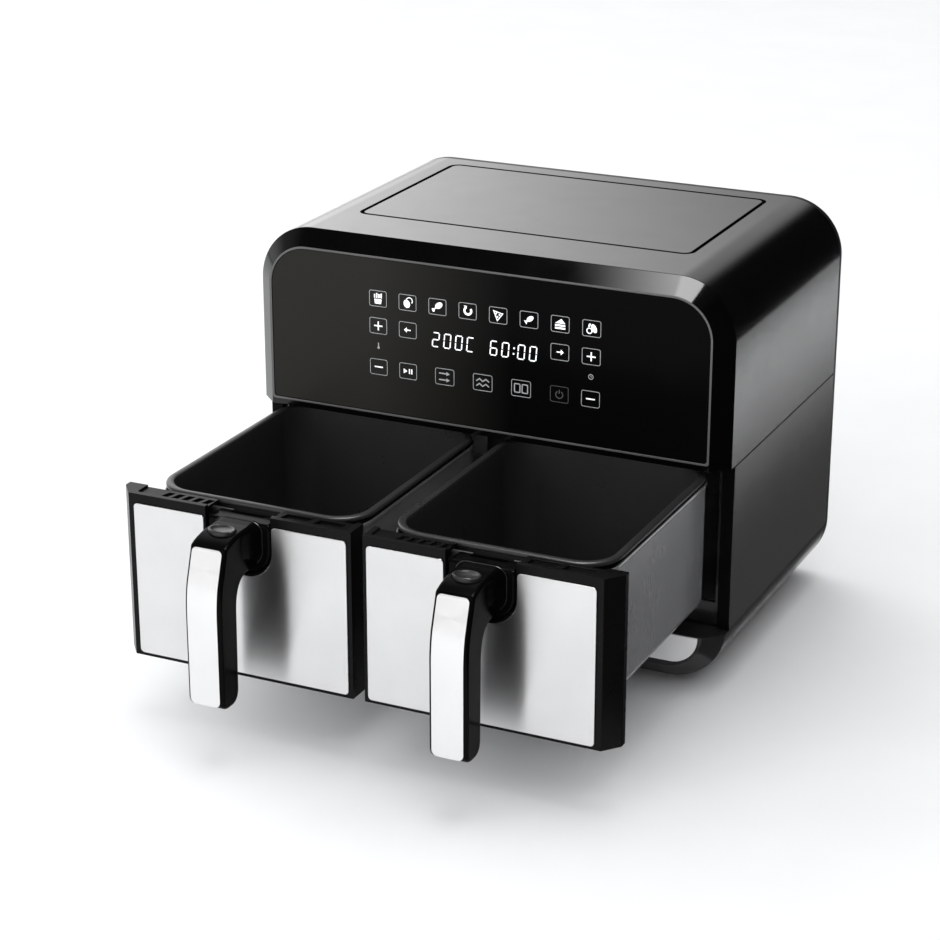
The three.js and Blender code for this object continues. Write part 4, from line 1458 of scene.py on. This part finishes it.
# ------------------------------------------------------------------ studio
def area_light(name, location, target, size, power):
    """A soft box that only diffuse light sees."""
    data = bpy.data.lights.new(name, "AREA")
    data.shape = "RECTANGLE"
    data.size, data.size_y = size
    data.energy = power
    lamp = bpy.data.objects.new(name, data)
    lamp.location = location
    lamp.rotation_euler = (Vector(target) - Vector(location)).to_track_quat("-Z", "Y").to_euler()
    lamp.visible_glossy = False
    bpy.context.scene.collection.objects.link(lamp)


def sky_patch(tree, total, direction, inner, outer, strength):
    """Adds a round soft box to the sky: full inside one angle from a direction, none outside another."""
    place_node = tree.nodes.new("ShaderNodeTexCoord")
    along = tree.nodes.new("ShaderNodeVectorMath")
    along.operation = "DOT_PRODUCT"
    along.inputs[1].default_value = Vector(direction).normalized()
    fade = tree.nodes.new("ShaderNodeMapRange")
    fade.interpolation_type = "SMOOTHSTEP"
    set_inputs(fade, From_Min=math.cos(math.radians(outer)), From_Max=math.cos(math.radians(inner)),
               To_Max=strength)
    add = tree.nodes.new("ShaderNodeMath")
    add.operation = "ADD"
    tree.links.new(place_node.outputs["Generated"], along.inputs[0])
    tree.links.new(along.outputs["Value"], fade.inputs["Value"])
    tree.links.new(total, add.inputs[0])
    tree.links.new(fade.outputs["Result"], add.inputs[1])
    return add.outputs["Value"]


SKY_PATCHES = (                 # direction, full within and none beyond (degrees), strength
    ((-0.74, 0.58, 0.34), 12, 36, 1.85),
    ((-0.18, 0.9, 0.38), 3, 14, 0.42),
    ((0.0, 0.1, 1.0), 5, 18, 3.0),
    ((-0.45, -0.88, 0.06), 12, 32, 1.2),
    ((-1.0, -0.05, 0.25), 10, 40, 0.2),
)


def studio_sky():
    """A dim sky with five round soft boxes: two behind, one overhead, one low in front, one to the left."""
    world = bpy.data.worlds.new("studio_sky")
    world.use_nodes = True
    tree = world.node_tree
    base = tree.nodes.new("ShaderNodeValue")
    base.outputs["Value"].default_value = 0.035
    total = base.outputs["Value"]
    for direction, inner, outer, strength in SKY_PATCHES:
        total = sky_patch(tree, total, direction, inner, outer, strength)
    background = tree.nodes["Background"]
    tree.links.new(total, background.inputs["Strength"])
    set_inputs(background, Color=(1, 1, 1, 1))
    bpy.context.scene.world = world


def card(name, corners, brightness=0.0, fade_axis=None, fade=(0, 1)):
    """A black or glowing card that only reflections see. With an axis, it fades in along it."""
    material = bpy.data.materials.new(name)
    material.use_nodes = True
    tree = material.node_tree
    tree.nodes.remove(tree.nodes["Principled BSDF"])
    face = tree.nodes.new("ShaderNodeEmission")
    set_inputs(face, Strength=brightness)
    output = tree.nodes["Material Output"]
    if fade_axis is None:
        tree.links.new(face.outputs["Emission"], output.inputs["Surface"])
    else:
        clear = tree.nodes.new("ShaderNodeBsdfTransparent")
        blend = tree.nodes.new("ShaderNodeMixShader")
        amount = tree.nodes.new("ShaderNodeMapRange")
        amount.interpolation_type = "SMOOTHSTEP"
        set_inputs(amount, From_Min=fade[0], From_Max=fade[1])
        tree.links.new(object_axis(tree, fade_axis), amount.inputs["Value"])
        tree.links.new(amount.outputs["Result"], blend.inputs["Fac"])
        tree.links.new(clear.outputs["BSDF"], blend.inputs[1])
        tree.links.new(face.outputs["Emission"], blend.inputs[2])
        tree.links.new(blend.outputs["Shader"], output.inputs["Surface"])
    piece = mesh_object(name, corners, [(0, 1, 2, 3)])
    piece.data.materials.append(material)
    piece.visible_camera = False
    piece.visible_diffuse = False
    piece.visible_shadow = False


def upright(x, y0, y1, height):
    """Corners of a card that stands on the floor, facing along X."""
    return [(x, y0, 0), (x, y1, 0), (x, y1, height), (x, y0, height)]


def level(x0, x1, y0, y1, z):
    """Corners of a card that lies flat."""
    return [(x0, y0, z), (x1, y0, z), (x1, y1, z), (x0, y1, z)]


def studio():
    """A pale floor, soft light from above and in front, and cards that shape the reflections."""
    bpy.context.scene.view_settings.view_transform = "Standard"
    studio_sky()
    floor_finish = plastic("studio_floor", (0.86, 0.87, 0.88), (0.88, 0.89, 0.9), (0.6, 0.7), 300, 0.02, 0.2)
    reach = 30
    floor = mesh_object("studio_floor", level(-reach, reach, -reach, reach, 0), [(0, 1, 2, 3)])
    floor.data.materials.append(floor_finish)
    card("dark_right_front", upright(0.33, -1.2, 0.04, 0.5))
    card("dim_right_floor", level(0.2, 0.6, -0.2, 2.5, 0.001), 0.09, "X", (0.478, 0.302))
    card("dark_right_back", upright(0.35, 0.05, 3.0, 1.2), 0.0, "Z", (0.110, 0.150))
    card("bright_above", level(-0.18, 0.3, -0.45, -0.1, 0.83), 16.0, "X", (-0.15, 0.03))
    area_light("overhead", (-0.6, 0.4, 4.0), (0, 0.4, 0), (12.0, 12.0), 480)
    area_light("front_fill", (-0.6, -3.0, 1.2), (0, 0, 0.1), (4.0, 2.0), 70)


def camera():
    """Looks at the housing's front from the right and above."""
    azimuth = math.radians(25.3)
    elevation = math.radians(20.84)
    distance = 1.95
    aim = Vector((0, FRONT - 22.8 * MM, UNDER + 157.6 * MM))
    level_reach = math.cos(elevation)
    back = Vector((math.sin(azimuth) * level_reach, -math.cos(azimuth) * level_reach, math.sin(elevation)))
    data = bpy.data.cameras.new("camera")
    data.sensor_width = 36
    data.lens = 96.74
    view = bpy.data.objects.new("camera", data)
    view.location = aim + back * distance
    view.rotation_euler = (-back).to_track_quat("-Z", "Y").to_euler()
    bpy.context.scene.collection.objects.link(view)
    bpy.context.scene.camera = view


camera()
upper_shell()
top_panel()
groove_shade_lining()
front_bezel()
glass_rim()
control_glass()
lower_shell()
front_trims()
base_tray()
sill_inlay()
rear_cover()
cord_gland()
rear_screws()
feet()
for drawer_word, drawer_side in SIDES:
    drawer_frame(drawer_word, drawer_side)
    steel_plate(drawer_word, drawer_side)
    pan(drawer_word, drawer_side)
    basket(drawer_word, drawer_side)
    crisper_plate(drawer_word)
    handle_body(drawer_word, drawer_side)
    handle_strip(drawer_word, drawer_side)
    release_button(drawer_word)
    button_spring(drawer_word)
panel_graphics()
dress_internals()
studio()
